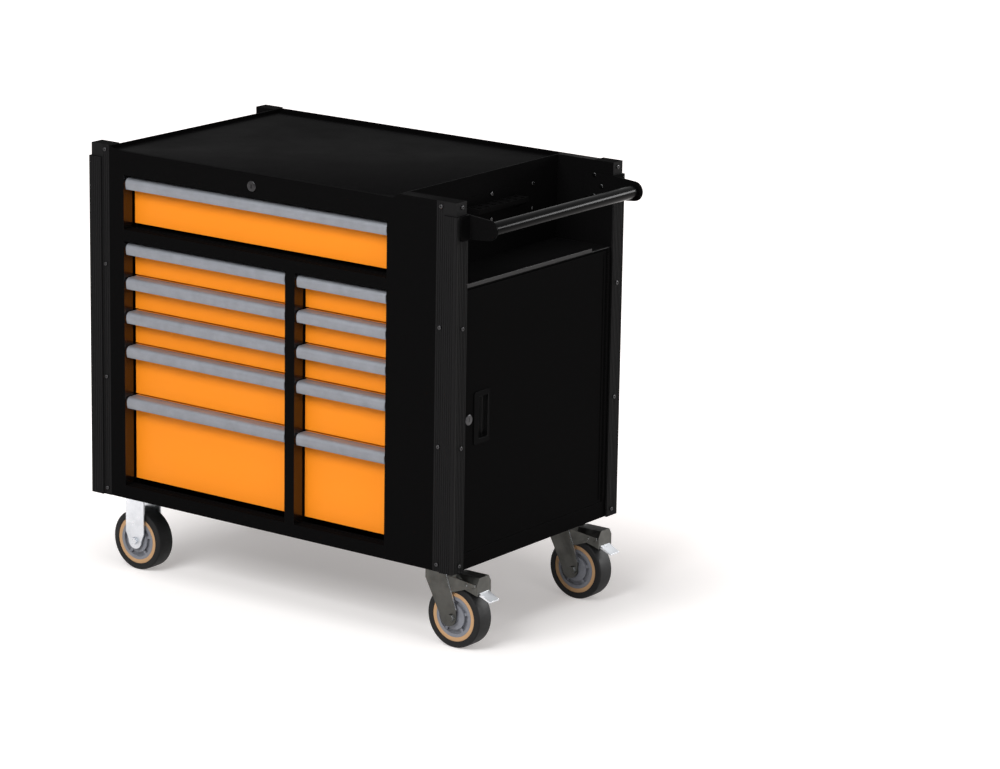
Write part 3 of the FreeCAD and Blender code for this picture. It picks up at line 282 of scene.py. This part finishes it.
cabinet_black = painted_steel(
    "cabinet black powder coat", (0.0034, 0.0033, 0.0034), (0.009, 0.009, 0.0095),
    0.1, (0.34, 0.46), (0.35, 700.0), 0.004)
worktop_black = painted_steel(
    "worktop black powder coat", (0.002, 0.0019, 0.002), (0.009, 0.009, 0.0095),
    0.1, (0.3, 0.44), (0.35, 700.0), 0.003)
# Lighter, glossier black for the ledges of the right side frame that face up: a painted highlight.
ledge_highlight_black = painted_steel(
    "ledge painted highlight black", (0.006, 0.006, 0.0062), (0.012, 0.012, 0.0125),
    0.1, (0.2, 0.3), (0.2, 700.0), 0.06)
reveal_black = painted_steel(
    "drawer opening gloss black", (0.003, 0.0029, 0.0029), (0.01, 0.0095, 0.009),
    0.1, (0.16, 0.26), (0.2, 700.0), 0.6)
post_black = painted_steel(
    "post black powder coat", (0.0095, 0.0093, 0.0096), (0.012, 0.012, 0.0125),
    0.1, (0.38, 0.48), (0.4, 700.0), 0.03)
handle_black = painted_steel(
    "push handle gloss black", (0.003, 0.003, 0.0032), (0.01, 0.01, 0.0105),
    0.08, (0.17, 0.23), (0.05, 500.0), 0.025)
cup_black = painted_steel(
    "door cup black plastic", (0.004, 0.004, 0.0042), (0.01, 0.01, 0.0105),
    0.2, (0.14, 0.26), (0.1, 500.0), 0.008)
cup_well_black = painted_steel(
    "door cup gloss black well", (0.006, 0.006, 0.0062), (0.012, 0.012, 0.0125),
    0.2, (0.12, 0.2), (0.1, 500.0), 0.35)
# Darker, duller black for faces that look up: painted shade on the tops.
top_shade_black = painted_steel(
    "top faces painted shade black", (0.003, 0.0029, 0.003), (0.006, 0.006, 0.0062),
    0.1, (0.4, 0.5), (0.35, 700.0), 0.0006)
# Lighter black for the outer face of the well's lip: a painted highlight.
lip_highlight_black = painted_steel(
    "lip painted highlight black", (0.026, 0.0255, 0.026), (0.03, 0.03, 0.031),
    0.1, (0.3, 0.42), (0.2, 700.0), 0.1)
drawer_orange = painted_steel(
    "drawer orange enamel", (0.93, 0.27, 0.014), (0.94, 0.31, 0.04),
    0.15, (0.34, 0.46), (0.12, 500.0), 0.12)
print("paints:", cabinet_black.name, post_black.name, handle_black.name, drawer_orange.name)


# %% Bare and plated metal
def plated_metal(name, colour, dull_colour, low, high, stretch, grain, metallic=1.0):
    """Metal whose gloss changes along drawn lines and whose colour changes in soft clouds, with a
    faint relief.
    """
    material, tree, shader = new_finish(name, Metallic=metallic)
    lines = place_group(tree, drawn_lines, Low=low, High=high)
    lines.inputs["Stretch"].default_value = stretch
    cloud = place_group(tree, gloss_smudges, Scale=30.0, Low=0.0, High=1.0)
    tree.links.new(mix_colours(tree, colour, dull_colour, cloud.outputs["Value"]),
                   shader.inputs["Base Color"])
    tree.links.new(lines.outputs["Value"], shader.inputs["Roughness"])
    relief = place_group(tree, coat_grain, Scale=1200.0, Strength=grain)
    tree.links.new(relief.outputs["Normal"], shader.inputs["Normal"])
    return material


pull_silver = plated_metal("pull satin aluminium", (0.222, 0.233, 0.257), (0.183, 0.191, 0.211),
                           0.42, 0.56, (8.0, 700.0, 700.0), 0.25, 0.35)
zinc_bright = plated_metal("caster bright zinc", (0.66, 0.68, 0.71), (0.54, 0.56, 0.59),
                           0.24, 0.42, (60.0, 60.0, 60.0), 0.3)
fork_zinc = plated_metal("caster dark zinc", (0.085, 0.085, 0.079), (0.055, 0.055, 0.051),
                         0.28, 0.42, (60.0, 60.0, 60.0), 0.3)
slide_zinc = plated_metal("slide zinc", (0.62, 0.63, 0.64), (0.5, 0.51, 0.52),
                          0.3, 0.45, (900.0, 6.0, 900.0), 0.2)
lock_chrome = plated_metal("lock black chrome", (0.045, 0.045, 0.047), (0.022, 0.022, 0.023),
                           0.08, 0.2, (200.0, 200.0, 200.0), 0.05)
screw_dark = plated_metal("screw dark zinc", (0.055, 0.055, 0.057), (0.03, 0.03, 0.031),
                          0.14, 0.28, (200.0, 200.0, 200.0), 0.1)
print("metals:", pull_silver.name, zinc_bright.name, slide_zinc.name, lock_chrome.name)


# %% Rubber, the coloured band and the wheel's core
def moulded(name, colour, worn_colour, dust, low, high, grain):
    """Moulded rubber or plastic: two close tones, dust and a soft relief."""
    material, tree, shader = new_finish(name, Specular_IOR_Level=0.2)
    dusting = place_group(tree, settled_dust, Amount=dust)
    tree.links.new(mix_colours(tree, colour, worn_colour, dusting.outputs["Mask"]),
                   shader.inputs["Base Color"])
    gloss = place_group(tree, gloss_smudges, Scale=20.0, Low=low, High=high)
    tree.links.new(gloss.outputs["Value"], shader.inputs["Roughness"])
    relief = place_group(tree, coat_grain, Scale=900.0, Strength=grain)
    tree.links.new(relief.outputs["Normal"], shader.inputs["Normal"])
    return material


tyre_black = moulded("tyre rubber", (0.0075, 0.0075, 0.0078), (0.05, 0.05, 0.049),
                     0.4, 0.5, 0.7, 0.5)
band_tan = moulded("tan wheel band", (0.5, 0.3, 0.155), (0.52, 0.4, 0.27),
                   0.3, 0.38, 0.5, 0.2)
core_grey = moulded("grey wheel core", (0.2, 0.205, 0.23), (0.25, 0.25, 0.27),
                    0.3, 0.3, 0.42, 0.25)
print("mouldings:", tyre_black.name, band_tan.name, core_grey.name)


# %% The finish of each material slot
finish_of_slot = {
    "cabinet_paint": cabinet_black, "post_paint": post_black, "handle_paint": handle_black,
    "drawer_paint": drawer_orange, "pull_aluminium": pull_silver, "zinc_steel": zinc_bright,
    "slide_steel": slide_zinc, "lock_chrome": lock_chrome, "screw_steel": screw_dark,
    "tyre_rubber": tyre_black, "wheel_core": core_grey, "fork_steel": fork_zinc,
}
print("finishes by slot:", len(finish_of_slot))

# %% [markdown]
# ## Putting the finish on every CAD node
#
# All nodes get their finish first, also those that are replaced by a finer piece later, so nothing
# is ever left with the plain colour that it was imported with.

# %% Finish on all nodes
finish_of_node = {name: finish_of_slot[slot_of_node[name]] for name in nodes}
finish_of_node["worktop"] = worktop_black
finish_of_node["door_pull"] = cup_black
for node_name, node in nodes.items():
    node.data.materials.clear()
    node.data.materials.append(finish_of_node[node_name])
print("nodes finished:", len(nodes))

# %% [markdown]
# ## Eased edges
#
# Folded and powder coated steel has no knife edges: each edge is a small round that catches a
# thin line of light. A Bevel modifier makes that round, but it needs whole faces, and the imported
# mesh is loose triangles. So a copy is merged, its flat triangles are dissolved into whole faces,
# and the copy with its bevel stands in for the node.

# %% A copy of a node with eased edges
weld_distance = 2e-6
flat_angle = math.radians(0.5)


def welded(node_name):
    """Working copy of a CAD node's mesh whose loose triangles share their corners."""
    work = bmesh.new()
    work.from_mesh(nodes[node_name].data)
    bmesh.ops.remove_doubles(work, verts=work.verts, dist=weld_distance)
    return work


def whole_faces(work, name):
    """New mesh in which flat neighbours of a working copy are one face; the copy is freed."""
    bmesh.ops.dissolve_limit(work, angle_limit=flat_angle, verts=work.verts, edges=work.edges)
    mesh = bpy.data.meshes.new(name)
    work.to_mesh(mesh)
    work.free()
    return mesh


def eased(node_name, width):
    """Merged copy of a CAD node with a bevel of the given width in metres."""
    return dress(node_name, whole_faces(welded(node_name), node_name + " eased"), width)


def dress(node_name, mesh, width, segments=2):
    """Object that stands in for a node: smooth shading, sharp edges marked, and a bevel."""
    piece = bpy.data.objects.new(node_name + "_finished", mesh)
    bpy.context.scene.collection.objects.link(piece)
    mesh.materials.clear()
    mesh.materials.append(finish_of_node[node_name])
    mesh.polygons.foreach_set("use_smooth", np.ones(len(mesh.polygons), bool))
    mesh.set_sharp_from_angle(angle=math.radians(32))
    if width:
        bevel = piece.modifiers.new("eased edge", "BEVEL")
        bevel.width = width
        bevel.segments = segments
        bevel.limit_method = "ANGLE"
        bevel.angle_limit = math.radians(40)
        bevel.harden_normals = True
        bevel.use_clamp_overlap = True
    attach(piece, body_of_node[node_name])
    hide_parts(node_name)
    return piece


# %% Ease the sheet metal, the posts and the fittings
eased_widths = {
    "front_frame": 0.0006, "left_side_panel": 0.0005, "back_panel": 0.0006, "worktop": 0.0008,
    "locker_partition": 0.0006, "well_floor": 0.0006, "right_side_frame": 0.0006,
    "corner_posts": 0.0004, "corner_guards": 0.0004, "tool_rack": 0.0005,
    "handle_brackets": 0.0008, "locker_door": 0.0006, "door_pull": 0.0006,
    "hinge_frame_leaf": 0.0002, "hinge_door_leaf": 0.0002, "rigid_casters": 0.0008,
    "swivel_top_plates": 0.0006, "front_swivel_fork": 0.0009, "rear_swivel_fork": 0.0009,
    "front_brake_pedal": 0.001, "rear_brake_pedal": 0.001, "cabinet_screws": 0.0003,
    "door_lock": 0.0003, "drawer_lock": 0.0003, "locker_shelf": 0.0005,
}
for node_name in drawer_nodes:
    eased_widths[node_name] = 0.0006
finished = {node_name: eased(node_name, width) for node_name, width in eased_widths.items()}
print("eased nodes:", len(finished))

# %% [markdown]
# ## A second finish on some faces
#
# Inside the drawer openings the black coat is glossy enough to mirror the orange fronts, so the
# narrow returns look brown. On the swivel casters the sheet's edges and the flats of the axle
# heads that face right get bright zinc over the dark wide faces, a painted highlight on their lit
# side, and the toe of the brake pedal is bright zinc too. Lighter black on the ledges and on the
# well's lip is a painted highlight; darker black on top faces and on the post sides in the well is
# painted shade.
# The slide members are zinc on painted trays. A mesh can carry several materials, and each face
# holds the number of its own, so these faces are picked by place and direction, all at once, from
# arrays. A face counts as facing a direction if its normal's share along it is over 0.7, so within
# about 45 degrees of it.

# %% Pick faces by place and direction
facing = 0.7


def refinish(piece, finish, chosen):
    """One more material, for the faces whose centres and normals (x, y, z) chosen accepts."""
    mesh = piece.data
    centre = np.empty(len(mesh.polygons) * 3)
    normal = np.empty(len(mesh.polygons) * 3)
    number = np.empty(len(mesh.polygons), np.int32)
    mesh.polygons.foreach_get("center", centre)
    mesh.polygons.foreach_get("normal", normal)
    mesh.polygons.foreach_get("material_index", number)
    picked = chosen(centre.reshape(-1, 3).T, normal.reshape(-1, 3).T)
    mesh.materials.append(finish)
    mesh.polygons.foreach_set("material_index", np.where(picked, len(mesh.materials) - 1, number))
    return int(picked.sum())


# %% Glossy returns of the drawer openings
drawer_boxes = np.array([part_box(name) for name in drawer_nodes])
bay_low = drawer_boxes[:, 0].min(axis=0) - 0.02
bay_high = drawer_boxes[:, 1].max(axis=0) + 0.02


def is_return(centre, normal):
    """Faces between the lowest and highest drawer that don't look to the front or the back."""
    inside = (centre[0] > bay_low[0]) & (centre[0] < bay_high[0])
    inside &= (centre[2] > bay_low[2]) & (centre[2] < bay_high[2])
    return inside & (np.abs(normal[1]) < 0.5)


print("glossy returns:", refinish(finished["front_frame"], reveal_black, is_return))


# %% Painted highlight on ledges and the lip, painted shade on tops and in the well, the cup's inside
door_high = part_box("locker_door")[1]
door_face, door_top = door_high[0], door_high[2]
cup_rim = 0.001


def faces_up(centre, normal):
    """Faces that look up."""
    return normal[2] > facing


def in_the_well(centre, normal):
    """Sides of the rear posts that look to the front, in the well: darker cabinet black as painted
    shade.
    """
    return (normal[1] < -facing) & (centre[1] > 0)


def is_lip(centre, normal):
    """The outer face of the well's lip, over the locker door: a lighter black as painted
    highlight.
    """
    return (normal[0] > facing) & (centre[2] > door_top)


def is_cup_well(centre, normal):
    """The inside of the door's cup, behind the plane of the door."""
    return centre[0] < door_face - cup_rim


# The up-facing ledges of the right side frame get the lighter black: painted highlight.
print("ledges:", refinish(finished["right_side_frame"], ledge_highlight_black, faces_up))
# Post sides in the well get the darker cabinet black: painted shade.
print("well side of the posts:", refinish(finished["corner_posts"], cabinet_black, in_the_well))
# The well's lip gets the lighter black: painted highlight.
print("lip:", refinish(finished["well_floor"], lip_highlight_black, is_lip))
# The tops of the front frame, the posts and the guards get the darker black: painted shade.
for node_name in ("front_frame", "corner_posts", "corner_guards"):
    print(node_name, "top faces:", refinish(finished[node_name], top_shade_black, faces_up))
print("cup well:", refinish(finished["door_pull"], cup_well_black, is_cup_well))

# %% Zinc slide members on the drawers
slide_reach = 0.0108
front_depth = 0.04
for node_name in drawer_nodes:
    low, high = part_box(node_name)

    def is_slide(centre, normal):
        """Faces beside the tray, behind the double front."""
        beside = (centre[0] < low[0] + slide_reach) | (centre[0] > high[0] - slide_reach)
        return beside & (centre[1] > low[1] + front_depth)

    zinc_faces = refinish(finished[node_name], slide_zinc, is_slide)
print("slide faces on the last drawer:", zinc_faces)

# %% Painted highlight on the swivel casters' edges, and the bright toe
edge_level = 0.095
toe_start = 0.072
toe_level = 0.142
head_reach = 0.0105
for row in ("front", "rear"):
    low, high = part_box(row + "_right_tyre")
    axle_x, axle_z = (low[0] + high[0]) / 2, (low[2] + high[2]) / 2

    def is_lit_edge(centre, normal):
        """Edges of the sheet that face right, over the wheel's middle, and the axle heads: painted
        highlight on their lit side.
        """
        edge = (normal[0] > facing) & (centre[2] > edge_level)
        head = np.hypot(centre[0] - axle_x, centre[2] - axle_z) < head_reach
        return edge | (head & (normal[0] > 0.4))

    def is_toe(centre, normal):
        """The plate that sticks out at the pedal's foot."""
        return (centre[0] > axle_x + toe_start) & (centre[2] < toe_level)

    # Right-facing edges and axle head flats get bright zinc: a painted highlight.
    edges = refinish(finished[row + "_swivel_fork"], zinc_bright, is_lit_edge)
    toes = refinish(finished[row + "_brake_pedal"], zinc_bright, is_toe)
    print(row, "bright edges:", edges, "toe faces:", toes)

# %% [markdown]
# ## Smooth round parts
#
# A round CAD solid arrives as flat facets. The tyres, the bands and the handle tube are therefore
# turned again: a profile of (radius, distance along the axis) points is spun about the axis. The
# whole grid of points is computed at once with numpy, and neighbours on the grid become faces.

# %% A spun surface
def spin_profile(name, profile, centre, steps):
    """Closed ring about y: point = centre + (radius * cos t, along, radius * sin t)."""
    profile = np.asarray(profile, float)
    turn = np.linspace(0, 2 * np.pi, steps, endpoint=False)
    radius = profile[None, :, 0]
    along = np.broadcast_to(profile[None, :, 1], (steps, len(profile)))
    points = np.stack((radius * np.cos(turn)[:, None], along, radius * np.sin(turn)[:, None]), -1)
    return grid_mesh(name, points + np.asarray(centre, float))


def grid_mesh(name, points):
    """Mesh of a grid of points that closes on itself both ways, as a torus does."""
    rows, columns = points.shape[:2]
    index = np.arange(rows * columns).reshape(rows, columns)
    right = np.roll(index, -1, 1)
    down = np.roll(index, -1, 0)
    across = np.roll(right, -1, 0)
    faces = np.stack([index, right, across, down], -1).reshape(-1, 4)
    mesh = bpy.data.meshes.new(name)
    mesh.from_pydata(points.reshape(-1, 3).tolist(), [], faces.tolist())
    work = bmesh.new()
    work.from_mesh(mesh)
    bmesh.ops.recalc_face_normals(work, faces=work.faces)
    work.to_mesh(mesh)
    work.free()
    return mesh


def rounded_corners(corners, radius, steps=4):
    """Closed outline with each corner cut by a quadratic curve: start, corner and end mixed."""
    corners = np.asarray(corners, float)
    largest_share = 0.45
    tips = []
    for neighbour in (np.roll(corners, 1, 0), np.roll(corners, -1, 0)):
        side = neighbour - corners
        length = np.linalg.norm(side, axis=1)
        reach = np.minimum(radius, largest_share * length)[:, None]
        tips.append(corners + side / length[:, None] * reach)
    start, end = tips
    t = np.linspace(0, 1, steps + 1)[None, :, None]
    curve = ((1 - t) ** 2 * start[:, None] + 2 * t * (1 - t) * corners[:, None]
             + t ** 2 * end[:, None])
    return curve.reshape(-1, 2)


# %% [markdown]
# ## The wheels
#
# Each wheel has three parts that the photo shows apart: a black tyre with rounded shoulders, a tan
# band, and a grey core with pockets between its ribs. The tyre and the band are spun; the core
# keeps the CAD solid's ribs and pockets with eased edges.

# %% Tyres and bands
def wheel_middle(wheel):
    """Middle of a wheel and half its tyre's width and radius, read from the CAD tyre."""
    low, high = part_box(wheel + "_tyre")
    middle = np.array([(low[k] + high[k]) / 2 for k in range(3)])
    return middle, (high[1] - low[1]) / 2, (high[2] - low[2]) / 2


def tyre_profile(half, outer, inner):
    """Cross section: flat walls, elliptical shoulders (sin t, 1 - cos t) and a crowned tread."""
    shoulder_height = 0.005
    shoulder_width = 0.0045
    crown = 0.0004
    t = np.linspace(0, np.pi / 2, 8)
    radius = outer - crown - shoulder_height * (1 - np.sin(t))
    along = -half + shoulder_width * (1 - np.cos(t))
    shoulder = np.column_stack([radius, along])
    near = np.concatenate([[(inner, -half)], shoulder, [(outer, 0.0)]])
    far = near[-2::-1] * (1, -1)
    return np.concatenate([near, far])


band_outer = 0.0603
band_inner = 0.050
band_setback = 0.0015
band_round = 0.0009
wheel_steps = 128
for wheel in wheel_names:
    middle, half, outer = wheel_middle(wheel)
    tyre_outline = tyre_profile(half, outer, band_outer)
    dress(wheel + "_tyre", spin_profile(wheel + " tyre", tyre_outline, middle, wheel_steps), 0)
    rim = half - band_setback
    band_outline = rounded_corners([(band_inner, -rim), (band_outer, -rim), (band_outer, rim),
                                    (band_inner, rim)], band_round)
    band_mesh = spin_profile(wheel + " band", band_outline, middle, wheel_steps)
    band = bpy.data.objects.new(wheel + "_band", band_mesh)
    bpy.context.scene.collection.objects.link(band)
    band.data.materials.append(band_tan)
    band.data.polygons.foreach_set("use_smooth", np.ones(len(band.data.polygons), bool))
    band.data.set_sharp_from_angle(angle=math.radians(50))
    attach(band, body_of_node[wheel + "_wheel_core"])
print("wheels turned:", len(wheel_names))


# %% Wheel cores without the band's solid
def core_mesh(wheel):
    """Merged copy of the core's solids, less every face with a corner well inside the band."""
    middle = wheel_middle(wheel)[0]
    outside_core = band_inner + 0.002
    work = welded(wheel + "_wheel_core")
    band_faces = [face for face in work.faces
                  if max(math.hypot(v.co.x - middle[0], v.co.z - middle[2]) for v in face.verts)
                  > outside_core]
    bmesh.ops.delete(work, geom=band_faces, context="FACES")
    return whole_faces(work, wheel + " core")


for wheel in wheel_names:
    dress(wheel + "_wheel_core", core_mesh(wheel), 0.0007, 3)
print("cores:", len(wheel_names))

# %% [markdown]
# ## The push handle
#
# The handle is a steel tube between two brackets. It is one straight spun surface: an outer wall,
# an inner wall and two flat ends.

# %% Handle tube
tube_low, tube_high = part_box("handle_tube")
tube_middle = [(tube_low[k] + tube_high[k]) / 2 for k in range(3)]
tube_half = (tube_high[1] - tube_low[1]) / 2
tube_outer = (tube_high[2] - tube_low[2]) / 2
tube_inner = tube_outer - 0.002
tube_outline = rounded_corners([(tube_inner, -tube_half), (tube_outer, -tube_half),
                                (tube_outer, tube_half), (tube_inner, tube_half)], 0.0004)
dress("handle_tube", spin_profile("handle tube", tube_outline, tube_middle, 64), 0)
print("handle tube length:", round(2 * tube_half, 3))

# %% [markdown]
# ## The drawer pulls
#
# Each pull is one length of the same aluminium extrusion, so it is a profile carried along x. The
# profile is the one of the CAD solid: a flat top, a round nose and a short leg on the drawer's
# face, but with finer steps round the nose.

# %% Pull profile and pieces
pull_height = 0.028
pull_reach = 0.0355
pull_wall = 0.0022


def arc_through(first, middle, last, steps):
    """Points on the circle through three points, from the first to the last."""
    a, b, c = (complex(*p) for p in (first, middle, last))
    ratio = (c - a) / (b - a)
    centre = a + (b - a) * (ratio - abs(ratio) ** 2) / (2j * ratio.imag)
    angles = np.unwrap([np.angle(p - centre) for p in (a, b, c)])
    t = np.linspace(angles[0], angles[2], steps)
    return np.stack([centre.real + abs(a - centre) * np.cos(t),
                     centre.imag + abs(a - centre) * np.sin(t)], -1)


def pull_outline():
    """The extrusion's closed outline as (distance out from the face, height) points."""
    nose = pull_reach * 0.62
    inside = pull_reach - pull_wall
    tip = pull_reach * 0.93
    bend_out, bend_up = pull_reach * 0.915, pull_height * 0.86
    top = arc_through((nose, pull_height), (bend_out, bend_up),
                      (pull_reach, pull_height * 0.5), 12)
    lower = arc_through((pull_reach, pull_height * 0.5), (pull_reach * 0.985, pull_height * 0.24),
                        (tip, 0.0), 8)
    back = arc_through((tip - pull_wall, 0.0), (inside * 0.985, pull_height * 0.24),
                       (inside, pull_height * 0.5), 8)
    under = arc_through((inside, pull_height * 0.5),
                        (bend_out - pull_wall * 0.75, bend_up - pull_wall * 0.75),
                        (nose, pull_height - pull_wall), 12)
    leg = [(pull_wall, pull_height - pull_wall), (pull_wall, pull_height * 0.3),
           (0.0, pull_height * 0.3), (0.0, pull_height)]
    return np.concatenate([top, lower[1:], back, under[1:], leg])


def pull_mesh(node_name):
    """The outline carried along x between the CAD pull's ends, with flat caps."""
    low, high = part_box(node_name)
    outline = pull_outline()
    count = len(outline)
    face_y = high[1]
    rows = [np.column_stack([np.full(count, x), face_y - outline[:, 0], low[2] + outline[:, 1]])
            for x in (low[0], high[0])]
    index = np.arange(count)
    after = np.roll(index, -1)
    sides = np.stack([index, after, after + count, index + count], -1).tolist()
    caps = [index[::-1].tolist(), (index + count).tolist()]
    mesh = bpy.data.meshes.new(node_name + " extrusion")
    mesh.from_pydata(np.concatenate(rows).tolist(), [], sides + caps)
    work = bmesh.new()
    work.from_mesh(mesh)
    bmesh.ops.recalc_face_normals(work, faces=work.faces)
    work.to_mesh(mesh)
    work.free()
    return mesh


for node_name in pull_nodes:
    dress(node_name, pull_mesh(node_name), 0.0003)
print("pulls:", len(pull_nodes))

# %% [markdown]
# ## Floor and light
#
# The photo is a studio picture on white. A large floor is nearly white and keeps the soft shadow
# of the cabinet; camera and mirror rays also pick up a glow of its own, which grows away from the
# cabinet until the floor fades into the white world. A broad light over the front gives the fronts
# their even colour, and two weaker ones fill. A strip behind the cabinet is seen in glossy
# surfaces only; it draws the line of light along the handle.

# %% Floor
def make_floor():
    """A wide flat square at z = 0 that glows for camera and mirror rays, more so farther out."""
    half = 14.0
    cabinet_half = (0.55, 0.33, 0.0)
    corners = [(-half, -half, 0), (half, -half, 0), (half, half, 0), (-half, half, 0)]
    mesh = bpy.data.meshes.new("studio floor")
    mesh.from_pydata(corners, [], [(0, 1, 2, 3)])
    floor = bpy.data.objects.new("studio_floor", mesh)
    bpy.context.scene.collection.objects.link(floor)
    material = bpy.data.materials.new("studio floor white")
    material.use_nodes = True
    tree = material.node_tree
    shader = tree.nodes["Principled BSDF"]
    shader.inputs["Base Color"].default_value = (0.8, 0.79, 0.785, 1)
    shader.inputs["Roughness"].default_value = 0.9
    shader.inputs["Specular IOR Level"].default_value = 0.1
    glow = tree.nodes.new("ShaderNodeEmission")
    glow.inputs["Color"].default_value = (1, 0.95, 0.93, 1)
    place = tree.nodes.new("ShaderNodeTexCoord")
    folded = tree.nodes.new("ShaderNodeVectorMath")
    folded.operation = "ABSOLUTE"
    outside = tree.nodes.new("ShaderNodeVectorMath")
    outside.operation = "SUBTRACT"
    outside.inputs[1].default_value = cabinet_half
    beyond = tree.nodes.new("ShaderNodeVectorMath")
    beyond.operation = "MAXIMUM"
    distance = tree.nodes.new("ShaderNodeVectorMath")
    distance.operation = "LENGTH"
    strength = tree.nodes.new("ShaderNodeMapRange")
    strength.inputs["From Min"].default_value = 0.05
    strength.inputs["From Max"].default_value = 0.9
    strength.inputs["To Min"].default_value = 0.33
    strength.inputs["To Max"].default_value = 1.0
    path = tree.nodes.new("ShaderNodeLightPath")
    seen = tree.nodes.new("ShaderNodeMath")
    seen.operation = "MAXIMUM"
    level = tree.nodes.new("ShaderNodeMath")
    level.operation = "MULTIPLY"
    total = tree.nodes.new("ShaderNodeAddShader")
    tree.links.new(path.outputs["Is Camera Ray"], seen.inputs[0])
    tree.links.new(path.outputs["Is Glossy Ray"], seen.inputs[1])
    tree.links.new(seen.outputs[0], level.inputs[0])
    tree.links.new(place.outputs["Object"], folded.inputs[0])
    tree.links.new(folded.outputs["Vector"], outside.inputs[0])
    tree.links.new(outside.outputs["Vector"], beyond.inputs[0])
    tree.links.new(beyond.outputs["Vector"], distance.inputs[0])
    tree.links.new(distance.outputs["Value"], strength.inputs["Value"])
    tree.links.new(strength.outputs["Result"], level.inputs[1])
    tree.links.new(level.outputs[0], glow.inputs["Strength"])
    tree.links.new(shader.outputs[0], total.inputs[0])
    tree.links.new(glow.outputs[0], total.inputs[1])
    tree.links.new(total.outputs[0], tree.nodes["Material Output"].inputs["Surface"])
    mesh.materials.append(material)


make_floor()


# %% World
def make_world():
    """White for camera, mirror and glass rays, and a plain grey light for everything else."""
    world = bpy.data.worlds.new("studio")
    bpy.context.scene.world = world
    world.use_nodes = True
    tree = world.node_tree
    light = tree.nodes["Background"]
    light.inputs["Color"].default_value = (1, 1, 1, 1)
    light.inputs["Strength"].default_value = 0.3
    shown = tree.nodes.new("ShaderNodeBackground")
    shown.inputs["Color"].default_value = (1, 1, 1, 1)
    shown.inputs["Strength"].default_value = 1.0
    path = tree.nodes.new("ShaderNodeLightPath")
    mirror = tree.nodes.new("ShaderNodeMath")
    mirror.operation = "MAXIMUM"
    seen = tree.nodes.new("ShaderNodeMath")
    seen.operation = "MAXIMUM"
    mix = tree.nodes.new("ShaderNodeMixShader")
    tree.links.new(path.outputs["Is Glossy Ray"], mirror.inputs[0])
    tree.links.new(path.outputs["Is Transmission Ray"], mirror.inputs[1])
    tree.links.new(mirror.outputs[0], seen.inputs[0])
    tree.links.new(path.outputs["Is Camera Ray"], seen.inputs[1])
    tree.links.new(seen.outputs[0], mix.inputs["Fac"])
    tree.links.new(light.outputs[0], mix.inputs[1])
    tree.links.new(shown.outputs[0], mix.inputs[2])
    tree.links.new(mix.outputs[0], tree.nodes["World Output"].inputs["Surface"])


make_world()


# %% Lamps
def soft_lamp(name, place, target, width, height, power):
    """Rectangular area light that points from its place to a target."""
    lamp = bpy.data.lights.new(name, "AREA")
    lamp.shape = "RECTANGLE"
    lamp.size = width
    lamp.size_y = height
    lamp.energy = power
    holder = bpy.data.objects.new(name, lamp)
    bpy.context.scene.collection.objects.link(holder)
    aim = np.array(target, float) - np.array(place, float)
    back = -aim / np.linalg.norm(aim)
    side = np.cross((0, 0, 1), back)
    side /= np.linalg.norm(side)
    up = np.cross(back, side)
    turn = np.eye(4)
    turn[:3, 0], turn[:3, 1], turn[:3, 2], turn[:3, 3] = side, up, back, place
    holder.matrix_world = Matrix(turn.tolist())
    return holder


cabinet_middle = (0, 0, 0.5)
soft_lamp("front key", (0.2, -4.4, 3.8), cabinet_middle, 3.0, 2.2, 215)
soft_lamp("right fill", (4.8, -1.6, 2.6), cabinet_middle, 2.4, 2.4, 42)
soft_lamp("overhead", (0.2, -1.4, 4.4), cabinet_middle, 3.0, 2.0, 45)
strip = soft_lamp("back strip", (3.1, 3.5, 1.9), (0.57, 0, 1.0), 2.2, 1.0, 220)
strip.visible_diffuse = False
print("lamps: 4")

# %% [markdown]
# ## Camera
#
# The camera stands where the photo was taken: its place, its turn and its lens come from lines
# that are parallel on the real cabinet, such as the posts and the drawer edges.

# %% Camera of the photo
camera = bpy.data.cameras.new("photo camera")
camera.sensor_width = 36.0
camera.lens = 143.38
camera.clip_end = 100.0
viewer = bpy.data.objects.new("photo camera", camera)
bpy.context.scene.collection.objects.link(viewer)
view_right = (0.80550, 0.59237, 0.01653)
view_up = (-0.16104, 0.19196, 0.96810)
view_back = (0.57030, -0.78246, 0.25002)
view_place = (5.80788, -7.41513, 2.94255)
viewer.matrix_world = Matrix([
    [view_right[k], view_up[k], view_back[k], view_place[k]] for k in range(3)] + [[0, 0, 0, 1]])
bpy.context.scene.camera = viewer
bpy.context.scene.view_settings.view_transform = "Standard"
print("camera at", view_place)
